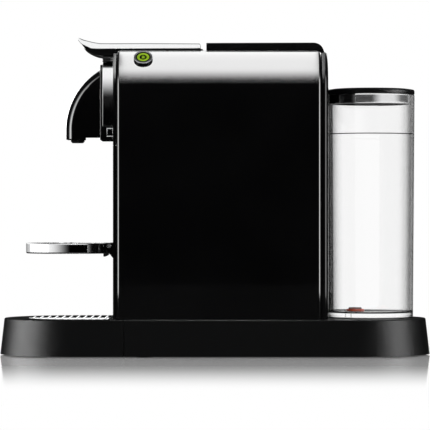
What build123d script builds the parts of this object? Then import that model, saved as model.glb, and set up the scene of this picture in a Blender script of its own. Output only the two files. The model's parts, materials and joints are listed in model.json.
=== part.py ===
from build123d import *
import os
from math import cos, degrees, hypot, radians, sin, sqrt, tan

os.makedirs("parts", exist_ok=True)

# Pod coffee machine in millimetres.
# The front looks along -Y, +Z is up, X = 0 is the plane of symmetry and z = 0 is the table.

# ---------------------------------------------------------------- clearances
gap = 0.3             # between neighbouring pieces
seam = 0.4            # visible joint lines of the shells
running_fit = 0.05    # radial play of a pin or stem in its hole
slot_play = 0.3       # radial play of a pin in a guide slot
pipe_play = 0.2       # radial play round the spout pipe

# ---------------------------------------------------------------- base
base_length = 372.0
base_width = 130.0
base_top = 32.0
base_draft = 6.6
base_wall = 2.5
base_edge = 1.2
foot_stand = 1.0      # height of the feet under the base
foot_radius = 7.0
foot_grip = 1.0       # depth of a foot inside its pocket
rail_wall = 2.0

# ---------------------------------------------------------------- body
body_half = 59.5
body_top = 262.0
shoulder_radius = 29.5
body_front = -84.0
body_rear = 90.7
panel_wall = 3.0
panel_round = 2.6
front_wall = 2.2
front_inset = 2.0     # front wall edge inside the body outline
cover_depth = 5.6     # rear cover behind the side panels
cover_inset = 1.5
cover_wall = 2.5
cover_back = body_rear + cover_depth
seam_y = body_front + 7.0     # joint between the drip base and the fixed base

# ---------------------------------------------------------------- brew unit
brew_z = body_top - 36.0
cage_radius = 20.5
cage_length = 38.0
cage_front = body_front + 18.3
capsule_radius = 15.5
capsule_depth = 28.0
cage_travel = 28.0
follower_pin = 5.0
follower_reach = 44.0  # from the lever pivot to the follower when closed
trunnion = 7.0
stem = 8.0
stem_engaged = 8.0
frame_inner = 21.5
frame_plate = 2.5
frame_ear = 4.5       # radius of the ears round the lever pivot
arm_plate = 2.5
cheek_plate = 1.8
cheek_rim = 6.0
cheek_hub = 7.5
frame_base = brew_z - 62.7
deck_plate = 3.0
deck_z = frame_base - gap - deck_plate
guide_y = cage_front + 3.7    # cage trunnions when closed

# ---------------------------------------------------------------- lever and top
lever_half = 29.0
lever_clear = 1.6     # between the body and the lever
lever_depth = 4.4
lever_bottom = body_top + lever_clear
lever_top = lever_bottom + lever_depth
lever_tip_y = body_front - 33.5
lever_tip_z = lever_top + 5.5
lever_skin = 1.8
lever_corner = 10.0
grip_bottom = lever_bottom - 5.7
grip_rear = body_front - gap
pivot_y = guide_y + follower_reach
pivot_z = body_top - 4.0
pivot_pin = 4.0       # diameter
lever_swing = 85.0    # degrees from closed to upright
lever_rear = pivot_y + 5.8
plateau_front = lever_rear + 4.8
plateau_top = body_top + 6.5
plateau_wall = 2.2
frame_rear = pivot_y + 32.0

# ---------------------------------------------------------------- head and spout
head_half = 29.0
head_front = body_front - 14.7
head_rear = body_front - 2.8
head_top = body_top - 5.3
head_bottom = brew_z - 40.6
head_line = head_bottom - 5.4  # joint between the drawn-out front panel and the fixed fascia
head_back_plate = 1.2
arch_top = head_top - 6.9
arch_bottom = head_bottom + 11.6
arch_wall = 1.3
arch_corner = 8.0
cap_half = 28.9
cap_groove = 0.8
clip_height = 7.6
nose_half = 24.0
nose_radius = 60.3
nose_back = head_front - gap
nose_centre_y = nose_back + 30.7
nose_centre_z = brew_z - 32.3
nose_bottom = nose_centre_z - 7.3
nose_step_z = nose_bottom + 2.2
nose_step_y = nose_back - 14.0
nose_wall = 2.2
nose_edge = 5.5
spout_y = nose_back - 20.0
nozzle_bottom = nose_bottom - 3.2
nozzle_outer = 12.0
nozzle_bore = 8.0
pipe_outer = 9.0
pipe_bore = 6.0
pipe_bend = 13.0

# ---------------------------------------------------------------- buttons
button_y = body_front + 23.0
button_tilt = 45.0
button_outer = 16.0
button_bore = 12.8
button_cap = 12.4
button_proud = 3.0
bezel_height = 1.1
lens_inner = 8.4
lens_depth = 1.2
button_travel = 1.5
button_stem = 6.0

# ---------------------------------------------------------------- water tank
tank_radius = 38.2
tank_foot_radius = tank_radius - 1.4
tank_y = cover_back + gap + tank_radius
tank_bottom = base_top + gap
tank_height = 192.7
tank_top = tank_bottom + tank_height
tank_wall = 2.2
tank_floor = 4.2
lid_top = tank_top + 5.4
lid_skirt = 8.5
collar_wall = 1.2
valve_y = tank_y - 13.3
spigot_outer = 16.0
spigot_bore = 11.0
spigot_bottom = tank_bottom - 4.3
valve_stem = 4.0
valve_head = 11.7
valve_top = tank_bottom + tank_floor + 4.9
seal_outer = 16.3
seal_thick = 2.9
spring_wire = 0.6
spring_radius = 3.3

# ---------------------------------------------------------------- drip unit
grid_front = 21.0 - base_length / 2
grid_rear = seam_y - 11.0
grid_half = 44.0
grid_top = base_top + 0.5
grid_thick = 2.2
grid_border = 5.0
grid_pitch = 6.25
grid_slot = 3.0
tray_floor = 8.3
tray_wall = 1.6
tongue_half = 42.5
tongue_rear = body_front + 72.0
tongue_bottom = 4.0
tongue_top = 6.5
bin_half = 41.0
bin_front = body_front + 0.2
bin_rear = tongue_rear - 2.0
bin_top = deck_z - 10.0
bin_wall = 1.8
drop_front, drop_rear = body_front + 12.0, body_front + 50.0  # where used capsules fall through
hinge_y = body_front - 7.2
hinge_z = 94.4
hinge_pin = 4.0
hinge_lug_half = 16.0
hinge_ear = 3.0
ear_round = 2.6
support_radius = 38.8
support_y = hinge_y - 33.8
support_wall = 3.8
support_top = hinge_z + 2.5
support_bottom = support_top - 9.1


def standing(y):
    """Upright sketch plane facing the front at this y; a negative extrusion goes back."""
    return Plane.XZ.offset(-y)


def body_outline(inset, bottom):
    """Front outline of the body, drawn this far inside its skin."""
    half = body_half - inset
    top = body_top - inset
    with Locations((0, (top + bottom) / 2)):
        outline = Rectangle(2 * half, top - bottom)
    fillet(outline.vertices().group_by(Axis.Y)[-1], shoulder_radius - inset)


def stadium(length, width):
    SlotOverall(length, width, rotation=90)


def keep_front_of(y):
    with Locations((0, y + base_length)):
        Rectangle(2 * base_length, 2 * base_length, mode=Mode.SUBTRACT)


def keep_behind(y):
    with Locations((0, y - base_length)):
        Rectangle(2 * base_length, 2 * base_length, mode=Mode.SUBTRACT)


def block(x0, x1, y0, y1, z0, z1, mode=Mode.ADD):
    with Locations(((x0 + x1) / 2, (y0 + y1) / 2, (z0 + z1) / 2)):
        Box(x1 - x0, y1 - y0, z1 - z0, mode=mode)


def upright(x, y, z0, z1, radius, mode=Mode.ADD):
    with Locations((x, y, (z0 + z1) / 2)):
        Cylinder(radius, z1 - z0, mode=mode)


def crossways(x0, x1, y, z, radius, mode=Mode.ADD):
    with Locations(((x0 + x1) / 2, y, z)):
        Cylinder(radius, x1 - x0, rotation=(0, 90, 0), mode=mode)


def lengthways(x, y0, y1, z, radius, mode=Mode.ADD):
    with Locations((x, (y0 + y1) / 2, z)):
        Cylinder(radius, y1 - y0, rotation=(90, 0, 0), mode=mode)


def hose(points, outer, bore, bend):
    """Tube along straight runs joined by round bends."""
    with BuildLine(mode=Mode.PRIVATE) as route:
        FilletPolyline(*points, radius=bend)
    path = route.wires()[0]
    with BuildSketch(Plane(origin=path @ 0, z_dir=path % 0)) as section:
        Circle(outer / 2)
        Circle(bore / 2, mode=Mode.SUBTRACT)
    sweep(sections=section.sketch, path=path)


def finish(builder, name):
    builder.part.label = name
    export_step(builder.part, f"parts/{name}.step")


base_height = base_top - foot_stand
taper_run = tan(radians(base_draft))

# ================================================================ fixed base
channel_half = tongue_half + 1.0
channel_rear = tongue_rear + 1.5
socket_outer = 26.0
socket_bottom = 12.0
floor_top = foot_stand + base_wall
chassis_floor = base_top + gap
chassis_plate = 2.5
hose_outer = 6.0
hose_bore = 4.0
hose_bend = 3.2
riser_y = 62.0
bush_x, bush_z = -30.0, 16.0
bush_neck, bush_flange, bush_bore = 4.8, 7.0, 3.2
bush_play = 0.2

with BuildPart() as base_housing:
    with BuildSketch(Plane.XY.offset(foot_stand)):
        stadium(base_length, base_width)
    extrude(amount=base_height, taper=base_draft)
    fillet(base_housing.faces().sort_by(Axis.Z)[-1].edges(), base_edge)
    with BuildSketch(Plane.XY.offset(foot_stand)):
        stadium(base_length - 2 * base_wall, base_width - 2 * base_wall)
        keep_behind(seam_y + seam / 2 + base_wall)
    extrude(amount=base_height - base_wall, taper=base_draft, mode=Mode.SUBTRACT)
    block(-base_width, base_width, -base_length, seam_y + seam / 2, 0, 2 * base_top, Mode.SUBTRACT)
    wall_bottom = floor_top + gap
    for side in (-1, 1):
        inner, outer = side * channel_half, side * (channel_half + rail_wall)
        block(min(inner, outer), max(inner, outer), seam_y + seam / 2, channel_rear,
              wall_bottom, base_top - base_wall / 2)
    block(-channel_half - rail_wall, channel_half + rail_wall, channel_rear,
          channel_rear + rail_wall, wall_bottom, base_top - base_wall / 2)
    block(-channel_half, channel_half, seam_y - 1, channel_rear, wall_bottom, 2 * base_top,
          Mode.SUBTRACT)
    upright(0, valve_y, base_top - 2 * base_wall, 2 * base_top, socket_outer / 2 + gap,
            Mode.SUBTRACT)
    upright(0, riser_y, base_top - 2 * base_wall, 2 * base_top, hose_outer / 2 + 1,
            Mode.SUBTRACT)
    lengthways(bush_x, base_length / 2 - 60, base_length / 2, bush_z, bush_neck + bush_play,
               Mode.SUBTRACT)
finish(base_housing, "base_housing")

base_end = base_length / 2
foot_front, foot_rear = seam_y + 17, base_end - 36
screw_middle, screw_rear = seam_y + 107, base_end - 14
foot_places = [(44, foot_front), (-44, foot_front), (34, foot_rear), (-34, foot_rear)]
screw_places = [(48, screw_middle), (-48, screw_middle), (20, screw_rear), (-20, screw_rear)]
with BuildPart() as base_plate:
    with BuildSketch(Plane.XY.offset(foot_stand)):
        stadium(base_length - 2 * base_wall - 2 * gap, base_width - 2 * base_wall - 2 * gap)
        keep_behind(seam_y + seam / 2 + base_wall + gap)
    extrude(amount=base_wall, taper=base_draft)
    for x, y in foot_places:
        upright(x, y, 0, foot_stand + foot_grip, foot_radius + gap / 2, Mode.SUBTRACT)
    for x, y in screw_places:
        upright(x, y, 0, floor_top + 1, 1.6, Mode.SUBTRACT)
        upright(x, y, 0, foot_stand + 1.2, 3.2, Mode.SUBTRACT)
finish(base_plate, "base_plate")

with BuildPart() as base_feet:
    for x, y in foot_places:
        upright(x, y, 0, foot_stand + foot_grip, foot_radius)
    fillet(base_feet.faces().group_by(Axis.Z)[0].edges(), 0.5)
finish(base_feet, "base_feet")

with BuildPart() as base_screws:
    for x, y in screw_places:
        upright(x, y, foot_stand + 0.2, foot_stand + 1.2, 2.8)
        upright(x, y, foot_stand + 1.2, floor_top + 8, 1.5)
        with Locations((x, y, foot_stand)):
            Box(3.0, 0.7, 1.2, mode=Mode.SUBTRACT)
finish(base_screws, "base_screws")

# Bush in the rear of the base where the mains cord would enter.
bush_y = sqrt((base_width / 2) ** 2 - bush_x ** 2) + base_length / 2 - base_width / 2
bush_face = bush_y - (bush_z - foot_stand) * taper_run
with BuildPart() as cord_inlet_bush:
    lengthways(bush_x, bush_face - 9, bush_face + 3, bush_z, bush_neck)
    lengthways(bush_x, bush_face - 12, bush_face - 9, bush_z, bush_flange)
    lengthways(bush_x, bush_face - 13, bush_face + 4, bush_z, bush_bore, Mode.SUBTRACT)
finish(cord_inlet_bush, "cord_inlet_bush")

pin_top = spigot_bottom - 2.0
nipple_z = 16.5
nipple_front = valve_y - 24
socket_floor = pin_top - 4
stem_bottom = pin_top + gap
with BuildPart() as tank_socket:
    upright(0, valve_y, socket_bottom, base_top, socket_outer / 2)
    upright(0, valve_y, socket_floor, base_top + 1, spigot_outer / 2 + gap, Mode.SUBTRACT)
    upright(0, valve_y, socket_floor - 2, pin_top, 1.5)
    lengthways(0, nipple_front, valve_y - 10, nipple_z, hose_outer / 2)
    lengthways(0, nipple_front - 1, valve_y - 4, nipple_z, hose_bore / 2, Mode.SUBTRACT)
    upright(0, valve_y - 5.5, nipple_z, socket_floor + 1, hose_bore / 2, Mode.SUBTRACT)
finish(tank_socket, "tank_socket")

# ================================================================ chassis
pump_x, pump_z = 22.0, chassis_floor + 41.7
pump_front, pump_rear = 12.0, 70.0
pump_radius = 14.0
mount_radius = 19.0
mount_width = 6.0
pump_inlet_y = pump_front - mount_width - 2
pump_outlet_y = pump_rear + mount_width + 2
pressure_riser_y = pump_rear + 14.5
cradle_half = 21.0
heater_bottom = deck_z + deck_plate + 4.0
heater_height = 47.0
heater_top = heater_bottom + heater_height
heater_half = 22.0
heater_front, heater_rear = 18.0, 80.0
meter_x, meter_y, meter_z = -25.0, 40.0, chassis_floor + 17.7
meter_radius, meter_height = 13.0, 16.0
meter_nipple = 4.0
post_outer = body_half - panel_wall - 2.5
post_inner = post_outer - 5.0
board_x = 4.0 - post_outer
board_front, board_rear = heater_front - 10.0, heater_rear - 2.0
chassis_front, chassis_back = bin_rear + 5.0, body_rear - 2.7
deck_front = body_front + 2.0
drop_half = 22.0

with BuildPart() as chassis:
    bottom = chassis_floor
    block(-post_outer, post_outer, chassis_front, chassis_back, bottom, bottom + chassis_plate)
    block(-post_outer, post_outer, chassis_front, chassis_front + chassis_plate, bottom, deck_z)
    block(-post_outer, post_outer, deck_front, chassis_back, deck_z, deck_z + deck_plate)
    for side in (-1, 1):
        low, high = sorted((side * post_inner, side * post_outer))
        block(low, high, chassis_back - 6, chassis_back, bottom, deck_z)
    block(-drop_half, drop_half, drop_front, drop_rear, deck_z - 1, deck_z + deck_plate + 1,
          Mode.SUBTRACT)
    for y in (pump_front - mount_width, pump_rear):
        block(pump_x - cradle_half, pump_x + cradle_half, y, y + mount_width, bottom,
              pump_z + 4)
        lengthways(pump_x, y - 1, y + mount_width + 1, pump_z, mount_radius + running_fit,
                   Mode.SUBTRACT)
    for x in (-16, 16):
        for y in (heater_front + 6, heater_rear - 6):
            upright(x, y, deck_z + 1, heater_bottom, 4)
    block(board_x - 3, board_x + 3, board_front - 2, board_rear + 2, bottom, bottom + 8)
    block(board_x - 1, board_x + 1, board_front - 3, board_rear + 3, bottom + chassis_plate + 1,
          bottom + 9, Mode.SUBTRACT)
    upright(0, riser_y, bottom - 1, bottom + 5, hose_outer / 2 + 1, Mode.SUBTRACT)
    upright(meter_x, meter_y, bottom, meter_z - meter_height / 2 - gap, 8)
    upright(pump_x, pressure_riser_y, deck_z - 1, deck_z + deck_plate + 1, hose_outer / 2 + 1,
            Mode.SUBTRACT)
finish(chassis, "chassis")

# ================================================================ shells
shell_bottom = base_top + gap
with BuildPart() as side_panel_right:
    with BuildSketch(standing(body_front)):
        body_outline(0, shell_bottom)
        with BuildSketch(mode=Mode.SUBTRACT):
            body_outline(panel_wall, shell_bottom - 2)
        edge_x = body_half - shoulder_radius
        with Locations((edge_x - body_half, body_top / 2)):
            Rectangle(2 * body_half, 2 * body_top, mode=Mode.SUBTRACT)
    extrude(amount=body_front - body_rear)
    ends = side_panel_right.faces().filter_by(Axis.Y)
    rims = [face.edges() for face in (ends.sort_by(Axis.Y)[0], ends.sort_by(Axis.Y)[-1])]
    outer_rims = [rim.filter_by(GeomType.LINE).sort_by(Axis.X)[-1] for rim in rims]
    outer_rims += [rim.filter_by(GeomType.CIRCLE).sort_by(SortBy.LENGTH)[-1] for rim in rims]
    fillet(outer_rims, panel_round)
    button_plane = Plane(
        origin=(
            body_half - shoulder_radius + shoulder_radius * cos(radians(button_tilt)),
            button_y,
            body_top - shoulder_radius + shoulder_radius * sin(radians(button_tilt)),
        ),
        x_dir=(0, 1, 0),
        z_dir=(cos(radians(button_tilt)), 0, sin(radians(button_tilt))),
    )
    collar_top = button_proud - bezel_height
    with BuildSketch(button_plane.offset(-panel_wall / 2)):
        Circle(button_outer / 2)
    extrude(amount=panel_wall / 2 + collar_top)
    with BuildSketch(button_plane.offset(-3 * panel_wall)):
        Circle(button_bore / 2)
    extrude(amount=6 * panel_wall, mode=Mode.SUBTRACT)
finish(side_panel_right, "side_panel_right")

with BuildPart() as side_panel_left:
    add(mirror(side_panel_right.part, about=Plane.YZ))
finish(side_panel_left, "side_panel_left")

cover_front = body_rear + gap
cover_foot = body_top - 34
with BuildPart() as rear_cover:
    with BuildSketch(standing(cover_front)):
        body_outline(cover_inset, shell_bottom)
    extrude(amount=cover_front - cover_back)
    fillet(rear_cover.faces().sort_by(Axis.Y)[-1].edges().sort_by(Axis.Z)[1:], 3.0)
    with BuildSketch(standing(cover_front)):
        body_outline(cover_inset + cover_wall, shell_bottom + cover_wall)
    extrude(amount=cover_front - cover_back + cover_wall - 0.1, mode=Mode.SUBTRACT)
    with BuildSketch(Plane.YZ):
        with BuildLine():
            crest = (cover_back - 12.3, plateau_top + gap)
            Polyline((cover_back, cover_foot), (cover_front, cover_foot),
                     (cover_front, body_top + 2 * gap), (plateau_front, body_top + 2 * gap),
                     (plateau_front, plateau_top), crest)
            Spline(crest, (cover_back - 5.2, body_top + 4.0), (cover_back - 2.1, body_top - 3.8),
                   (cover_back - 0.7, body_top - 16.0), (cover_back, cover_foot),
                   tangents=((1, 0), (0, -1)))
        make_face()
    extrude(amount=lever_half, both=True)
    block(-lever_half + plateau_wall, lever_half - plateau_wall, plateau_front + plateau_wall,
          cover_front + 0.1, body_top - 1, plateau_top - plateau_wall, Mode.SUBTRACT)
    block(-lever_half + plateau_wall, lever_half - plateau_wall, cover_front - 1,
          cover_back - cover_wall - 0.1, cover_foot - 8, body_top + 1, Mode.SUBTRACT)
finish(rear_cover, "rear_cover")

fascia_front = body_front - gap - front_wall
with BuildPart() as front_fascia:
    with BuildSketch(standing(fascia_front)):
        body_outline(front_inset, head_line + seam / 2)
        with Locations((0, head_top - 0.2 + 50)):
            Rectangle(2 * (lever_half + 1.5), 100, mode=Mode.SUBTRACT)
        with Locations((0, brew_z)):
            Circle(pipe_outer / 2 + pipe_play, mode=Mode.SUBTRACT)
    extrude(amount=-front_wall)
finish(front_fascia, "front_fascia")

# ================================================================ head
arch_inner = head_half - arch_wall
groove_depth = 0.6
with BuildPart() as head_housing:
    with BuildSketch(standing(head_front)) as core:
        with Locations((0, (arch_top - arch_wall - gap + head_bottom) / 2)):
            Rectangle(2 * (arch_inner - gap / 2), arch_top - arch_wall - gap - head_bottom)
        fillet(core.vertices().group_by(Axis.Y)[-1], arch_corner - arch_wall)
    extrude(amount=head_front - head_rear)
    with BuildSketch(standing(head_front)) as cap:
        with Locations((0, (head_top + arch_top + gap) / 2)):
            Rectangle(2 * cap_half, head_top - arch_top - gap)
        fillet(cap.vertices().group_by(Axis.Y)[-1], 2.5)
    extrude(amount=head_front - head_rear)
    block(-cap_half + 1, cap_half - 1, head_rear - head_back_plate, head_rear,
          head_bottom, head_top - 1)
    for z in (head_top - 2 * cap_groove, head_top - 2 * cap_groove - 2.2):
        low, high = z - cap_groove / 2, z + cap_groove / 2
        block(-cap_half - 1, cap_half + 1, head_front - 1, head_front + groove_depth, low, high,
              Mode.SUBTRACT)
        for side in (-1, 1):
            block(side * cap_half - groove_depth, side * cap_half + groove_depth,
                  head_front - 1, head_rear, low, high, Mode.SUBTRACT)
    lengthways(0, head_front - 1, head_rear + 1, brew_z, pipe_outer / 2 + pipe_play,
               Mode.SUBTRACT)
finish(head_housing, "head_housing")

with BuildPart() as head_arch:
    arch_depth = head_rear - head_back_plate - gap - head_front
    with BuildSketch(standing(head_front)) as hoop:
        with Locations((0, (arch_top + arch_bottom) / 2)):
            Rectangle(2 * head_half, arch_top - arch_bottom)
        fillet(hoop.vertices().group_by(Axis.Y)[-1], arch_corner)
        with BuildSketch(mode=Mode.SUBTRACT) as inside:
            with Locations((0, (arch_top - arch_wall + arch_bottom - 10) / 2)):
                Rectangle(2 * arch_inner, arch_top - arch_wall - arch_bottom + 10)
            fillet(inside.vertices().group_by(Axis.Y)[-1], arch_corner - arch_wall)
    extrude(amount=-arch_depth)
finish(head_arch, "head_arch")

clip_top = arch_bottom - 1.5
clip_bottom = clip_top - clip_height
with BuildPart() as head_clips:
    for side in (-1, 1):
        low, high = sorted((side * (arch_inner + gap / 2), side * (head_half - 0.2)))
        block(low, high, head_front + 4.5, head_rear - head_back_plate - gap, clip_bottom,
              clip_top)
        block(low - 1, high + 1, head_front + 5.5, head_rear - head_back_plate - gap - 1,
              clip_bottom + 1, clip_top - 1, Mode.SUBTRACT)
finish(head_clips, "head_clips")

with BuildPart() as spout_cover:
    nose_left = nose_centre_y - nose_radius
    nose_crown = nose_centre_z + sqrt(nose_radius ** 2 - (nose_back - nose_centre_y) ** 2)
    brow = nose_radius * cos(radians(45))
    with BuildSketch(Plane.YZ):
        with BuildLine():
            ThreePointArc((nose_back, nose_crown),
                          (nose_centre_y - brow, nose_centre_z + brow),
                          (nose_left, nose_centre_z))
            Polyline((nose_left, nose_centre_z), (nose_left, nose_bottom),
                     (nose_step_y, nose_bottom), (nose_step_y, nose_step_z),
                     (nose_back, nose_step_z), (nose_back, nose_crown))
        make_face()
    extrude(amount=nose_half, both=True)
    rounds = spout_cover.edges().filter_by(
        lambda edge: edge.center().Y < nose_back - 8
        and abs(edge.center().X) > nose_half - 1
        and edge.center().Z > nose_bottom + 2
        and (edge.geom_type == GeomType.CIRCLE or edge.center().Y < nose_left + 0.1)
    )
    fillet(rounds, nose_edge)
    inner_radius = nose_radius - nose_wall
    inner_left = nose_left + nose_wall
    inner_crown = nose_centre_z + sqrt(inner_radius ** 2 - (nose_back - nose_centre_y) ** 2)
    inner_brow = inner_radius * cos(radians(45))
    with BuildSketch(Plane.YZ):
        with BuildLine():
            ThreePointArc((nose_back, inner_crown),
                          (nose_centre_y - inner_brow, nose_centre_z + inner_brow),
                          (inner_left, nose_centre_z))
            Polyline((inner_left, nose_centre_z), (inner_left, nose_step_z + nose_wall),
                     (nose_back, nose_step_z + nose_wall), (nose_back, inner_crown))
        make_face()
    extrude(amount=nose_half - nose_wall, both=True, mode=Mode.SUBTRACT)
    upright(0, spout_y, nose_bottom - 5, nose_step_z + 5, nozzle_outer / 2 + running_fit,
            Mode.SUBTRACT)
finish(spout_cover, "spout_cover")

nozzle_seat = nose_step_z + nose_wall
with BuildPart() as spout_nozzle:
    upright(0, spout_y, nozzle_bottom, nozzle_seat + gap, nozzle_outer / 2)
    fillet(spout_nozzle.faces().sort_by(Axis.Z)[0].edges(), 1.5)
    upright(0, spout_y, nozzle_seat + gap, nozzle_seat + 3, nozzle_outer / 2 + 1)
    upright(0, spout_y, nozzle_bottom - 1, nozzle_seat + 4, nozzle_bore / 2, Mode.SUBTRACT)
finish(spout_nozzle, "spout_nozzle")

plate_front = body_front + 3.0
with BuildPart() as spout_pipe:
    hose([(0, plate_front + 3, brew_z), (0, spout_y + 15, brew_z), (0, spout_y, brew_z - 21),
          (0, spout_y, nozzle_seat + 3)], pipe_outer, pipe_bore, pipe_bend)
finish(spout_pipe, "spout_pipe")

# ================================================================ brew unit
frame_top = body_top - 7.0
frame_floor = 3.0
tail_reach = hypot(lever_rear - pivot_y, lever_top - pivot_z)
tail_low = pivot_z - (lever_rear - pivot_y)
with BuildPart() as brew_frame:
    for side in (-1, 1):
        low, high = sorted((side * frame_inner, side * (frame_inner + frame_plate)))
        block(low, high, body_front, frame_rear, frame_base, frame_top)
        block(low, high, pivot_y + frame_ear, pivot_y + tail_reach + 2 * gap, tail_low - 2 * gap,
              frame_top + 1, Mode.SUBTRACT)
        block(low, high, pivot_y - frame_ear, pivot_y + frame_ear, frame_top - 1, pivot_z)
        crossways(low, high, pivot_y, pivot_z, frame_ear)
    block(-frame_inner, frame_inner, body_front, frame_rear, frame_base, frame_base + frame_floor)
    block(-frame_inner, frame_inner, body_front, plate_front - gap, brew_z - 22, brew_z + 22)
    block(-drop_half, drop_half, drop_front, drop_rear, frame_base - 1,
          frame_base + frame_floor + 1, Mode.SUBTRACT)
    lengthways(0, body_front - 1, plate_front, brew_z, pipe_outer / 2 + pipe_play, Mode.SUBTRACT)
    with BuildSketch(Plane.YZ):
        with Locations((guide_y + cage_travel / 2, brew_z)):
            SlotCenterToCenter(cage_travel, trunnion + 2 * slot_play)
        with Locations((pivot_y, pivot_z)):
            Circle(pivot_pin / 2 + running_fit)
    extrude(amount=2 * frame_inner, both=True, mode=Mode.SUBTRACT)
finish(brew_frame, "brew_frame")

slot_half = 19.5
slot_front, slot_rear = cage_front - gap, cage_front + 29.7
frame_outer = frame_inner + frame_plate
with BuildPart() as top_frame:
    block(-frame_outer, frame_outer, body_front + 2, pivot_y - 9, frame_top + gap, body_top - 0.5)
    block(-slot_half, slot_half, slot_front, slot_rear, frame_top - 1, body_top + 1, Mode.SUBTRACT)
    chamfer(top_frame.faces().sort_by(Axis.Z)[-1].inner_wires()[0].edges(), 1.5)
finish(top_frame, "top_frame")

with BuildPart() as lever_hinge_pin:
    crossways(-lever_half, lever_half, pivot_y, pivot_z, pivot_pin / 2)
finish(lever_hinge_pin, "lever_hinge_pin")

with BuildPart() as brew_front_plate:
    lengthways(0, plate_front, cage_front - gap, brew_z, frame_inner - gap)
    lengthways(0, plate_front - 1, plate_front + 3, brew_z, pipe_outer / 2 + 0.1, Mode.SUBTRACT)
    lengthways(0, plate_front, cage_front + 5, brew_z, 2, Mode.SUBTRACT)
    with BuildSketch(standing(cage_front - gap)):
        with Locations((0, brew_z)):
            with GridLocations(5, 5, 4, 4):
                Rectangle(2.2, 2.2)
    extrude(amount=-0.2)
finish(brew_front_plate, "brew_front_plate")

arm_inner = frame_outer + gap
cage_rear = cage_front + cage_length
injector_front = cage_rear + cage_travel + 1.0
injector_y = (injector_front + frame_rear) / 2
injector_top = brew_z + 16
with BuildPart() as injector_block:
    block(-frame_inner + gap, frame_inner - gap, injector_front, frame_rear - 0.5,
          injector_top - 30, injector_top)
    lengthways(0, injector_front - 1, frame_rear, brew_z, stem / 2 + running_fit, Mode.SUBTRACT)
    upright(0, injector_y, brew_z, injector_top + 1, 1.5, Mode.SUBTRACT)
finish(injector_block, "injector_block")

with BuildPart() as capsule_cage:
    lengthways(0, cage_front, cage_rear, brew_z, cage_radius)
    lengthways(0, cage_front - 1, cage_front + capsule_depth, brew_z, capsule_radius,
               Mode.SUBTRACT)
    lengthways(0, cage_front - 1, cage_front + 1.8, brew_z, 18.2, Mode.SUBTRACT)
    for side in (-1, 1):
        low, high = sorted((side * (cage_radius - 1.5), side * arm_inner))
        crossways(low, high, guide_y, brew_z, trunnion / 2)
    lengthways(0, cage_rear - 4, injector_front + stem_engaged, brew_z, stem / 2)
    lengthways(0, cage_front, injector_front + stem_engaged + 1, brew_z, 1.5, Mode.SUBTRACT)
finish(capsule_cage, "capsule_cage")

arm_outer = arm_inner + arm_plate
cheek_inner = arm_outer + gap
with BuildPart() as cage_arms:
    for side in (-1, 1):
        with BuildSketch(Plane.YZ.offset(side * arm_inner)):
            with BuildLine():
                Polyline((guide_y - 5, brew_z - 6), (guide_y + 5, brew_z - 6),
                         (guide_y + 4, pivot_z + 3), (guide_y - 4, pivot_z + 3), close=True)
            make_face()
        extrude(amount=side * arm_plate)
        low, high = sorted((side * (arm_outer - 0.5), side * (cheek_inner + cheek_plate)))
        crossways(low, high, guide_y, pivot_z, follower_pin / 2)
finish(cage_arms, "cage_arms")

with BuildPart() as cage_needles:
    for x, z in ((0, 8), (-7, -4), (7, -4)):
        with Locations(Location((x, cage_front + capsule_depth, brew_z + z), (90, 0, 0))):
            Cone(1.8, 0.3, 7, align=(Align.CENTER, Align.CENTER, Align.MIN))
finish(cage_needles, "cage_needles")

# ================================================================ lever
insert_front = lever_tip_y + 19.8
with BuildPart() as lever_shell:
    with BuildSketch(Plane.YZ):
        with BuildLine():
            crown = (lever_tip_y + 0.6, lever_tip_z)
            swell = (lever_tip_y + 23.1, lever_top)
            belly = (lever_tip_y + 14.5, lever_bottom - 0.4)
            lip = (lever_tip_y - 0.3, lever_tip_z - 1.4)
            Spline(crown, (lever_tip_y + 8.9, lever_top + 2.1), swell,
                   tangents=((0.9, -0.45), (1, 0)))
            Polyline(swell, (lever_rear, lever_top - 0.6), (lever_rear, lever_bottom), belly)
            Spline(belly, (lever_tip_y + 6.1, lever_tip_z - 7.6), lip,
                   tangents=((-1, 0), (-0.42, 0.9)))
            ThreePointArc(lip, (lever_tip_y - 0.3, lever_tip_z - 0.4), crown)
        make_face()
    extrude(amount=lever_half, both=True)
    tips = lever_shell.edges().filter_by(Axis.Z).group_by(Axis.Y)
    fillet(tips[-1], 2.5)
    with BuildSketch(Plane.XY.offset(lever_bottom - 5)) as plan:
        with Locations((0, (lever_tip_y - 0.5 + lever_rear + 5) / 2)):
            Rectangle(2 * lever_half, lever_rear + 5 - lever_tip_y + 0.5)
        fillet(plan.vertices().group_by(Axis.Y)[0], lever_corner)
    extrude(amount=30, mode=Mode.INTERSECT)
    block(-lever_half + lever_skin, lever_half - lever_skin, insert_front - gap,
          lever_rear - lever_skin, lever_bottom - 2, lever_top - lever_skin - 0.6, Mode.SUBTRACT)
finish(lever_shell, "lever_shell")

insert_half = lever_half - lever_skin - gap
insert_bottom = lever_bottom - 0.7
with BuildPart() as lever_insert:
    block(-insert_half, insert_half, insert_front, lever_rear - lever_skin - gap,
          insert_bottom, lever_top - lever_skin - 0.6 - gap)
    with BuildSketch(Plane.YZ):
        with BuildLine():
            heel = (insert_front, insert_bottom)
            keel = (lever_tip_y + 20.5, grip_bottom)
            beak = (lever_tip_y + 4.9, lever_bottom + 0.7)
            Polyline(heel, (grip_rear, insert_bottom), (grip_rear, grip_bottom), keel)
            Spline(keel, (lever_tip_y + 11.9, grip_bottom + 2.1), beak)
            Spline(beak, (lever_tip_y + 8.9, lever_bottom - 0.3),
                   (lever_tip_y + 14.9, insert_bottom), heel)
        make_face()
    extrude(amount=insert_half, both=True)
finish(lever_insert, "lever_insert")


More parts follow.
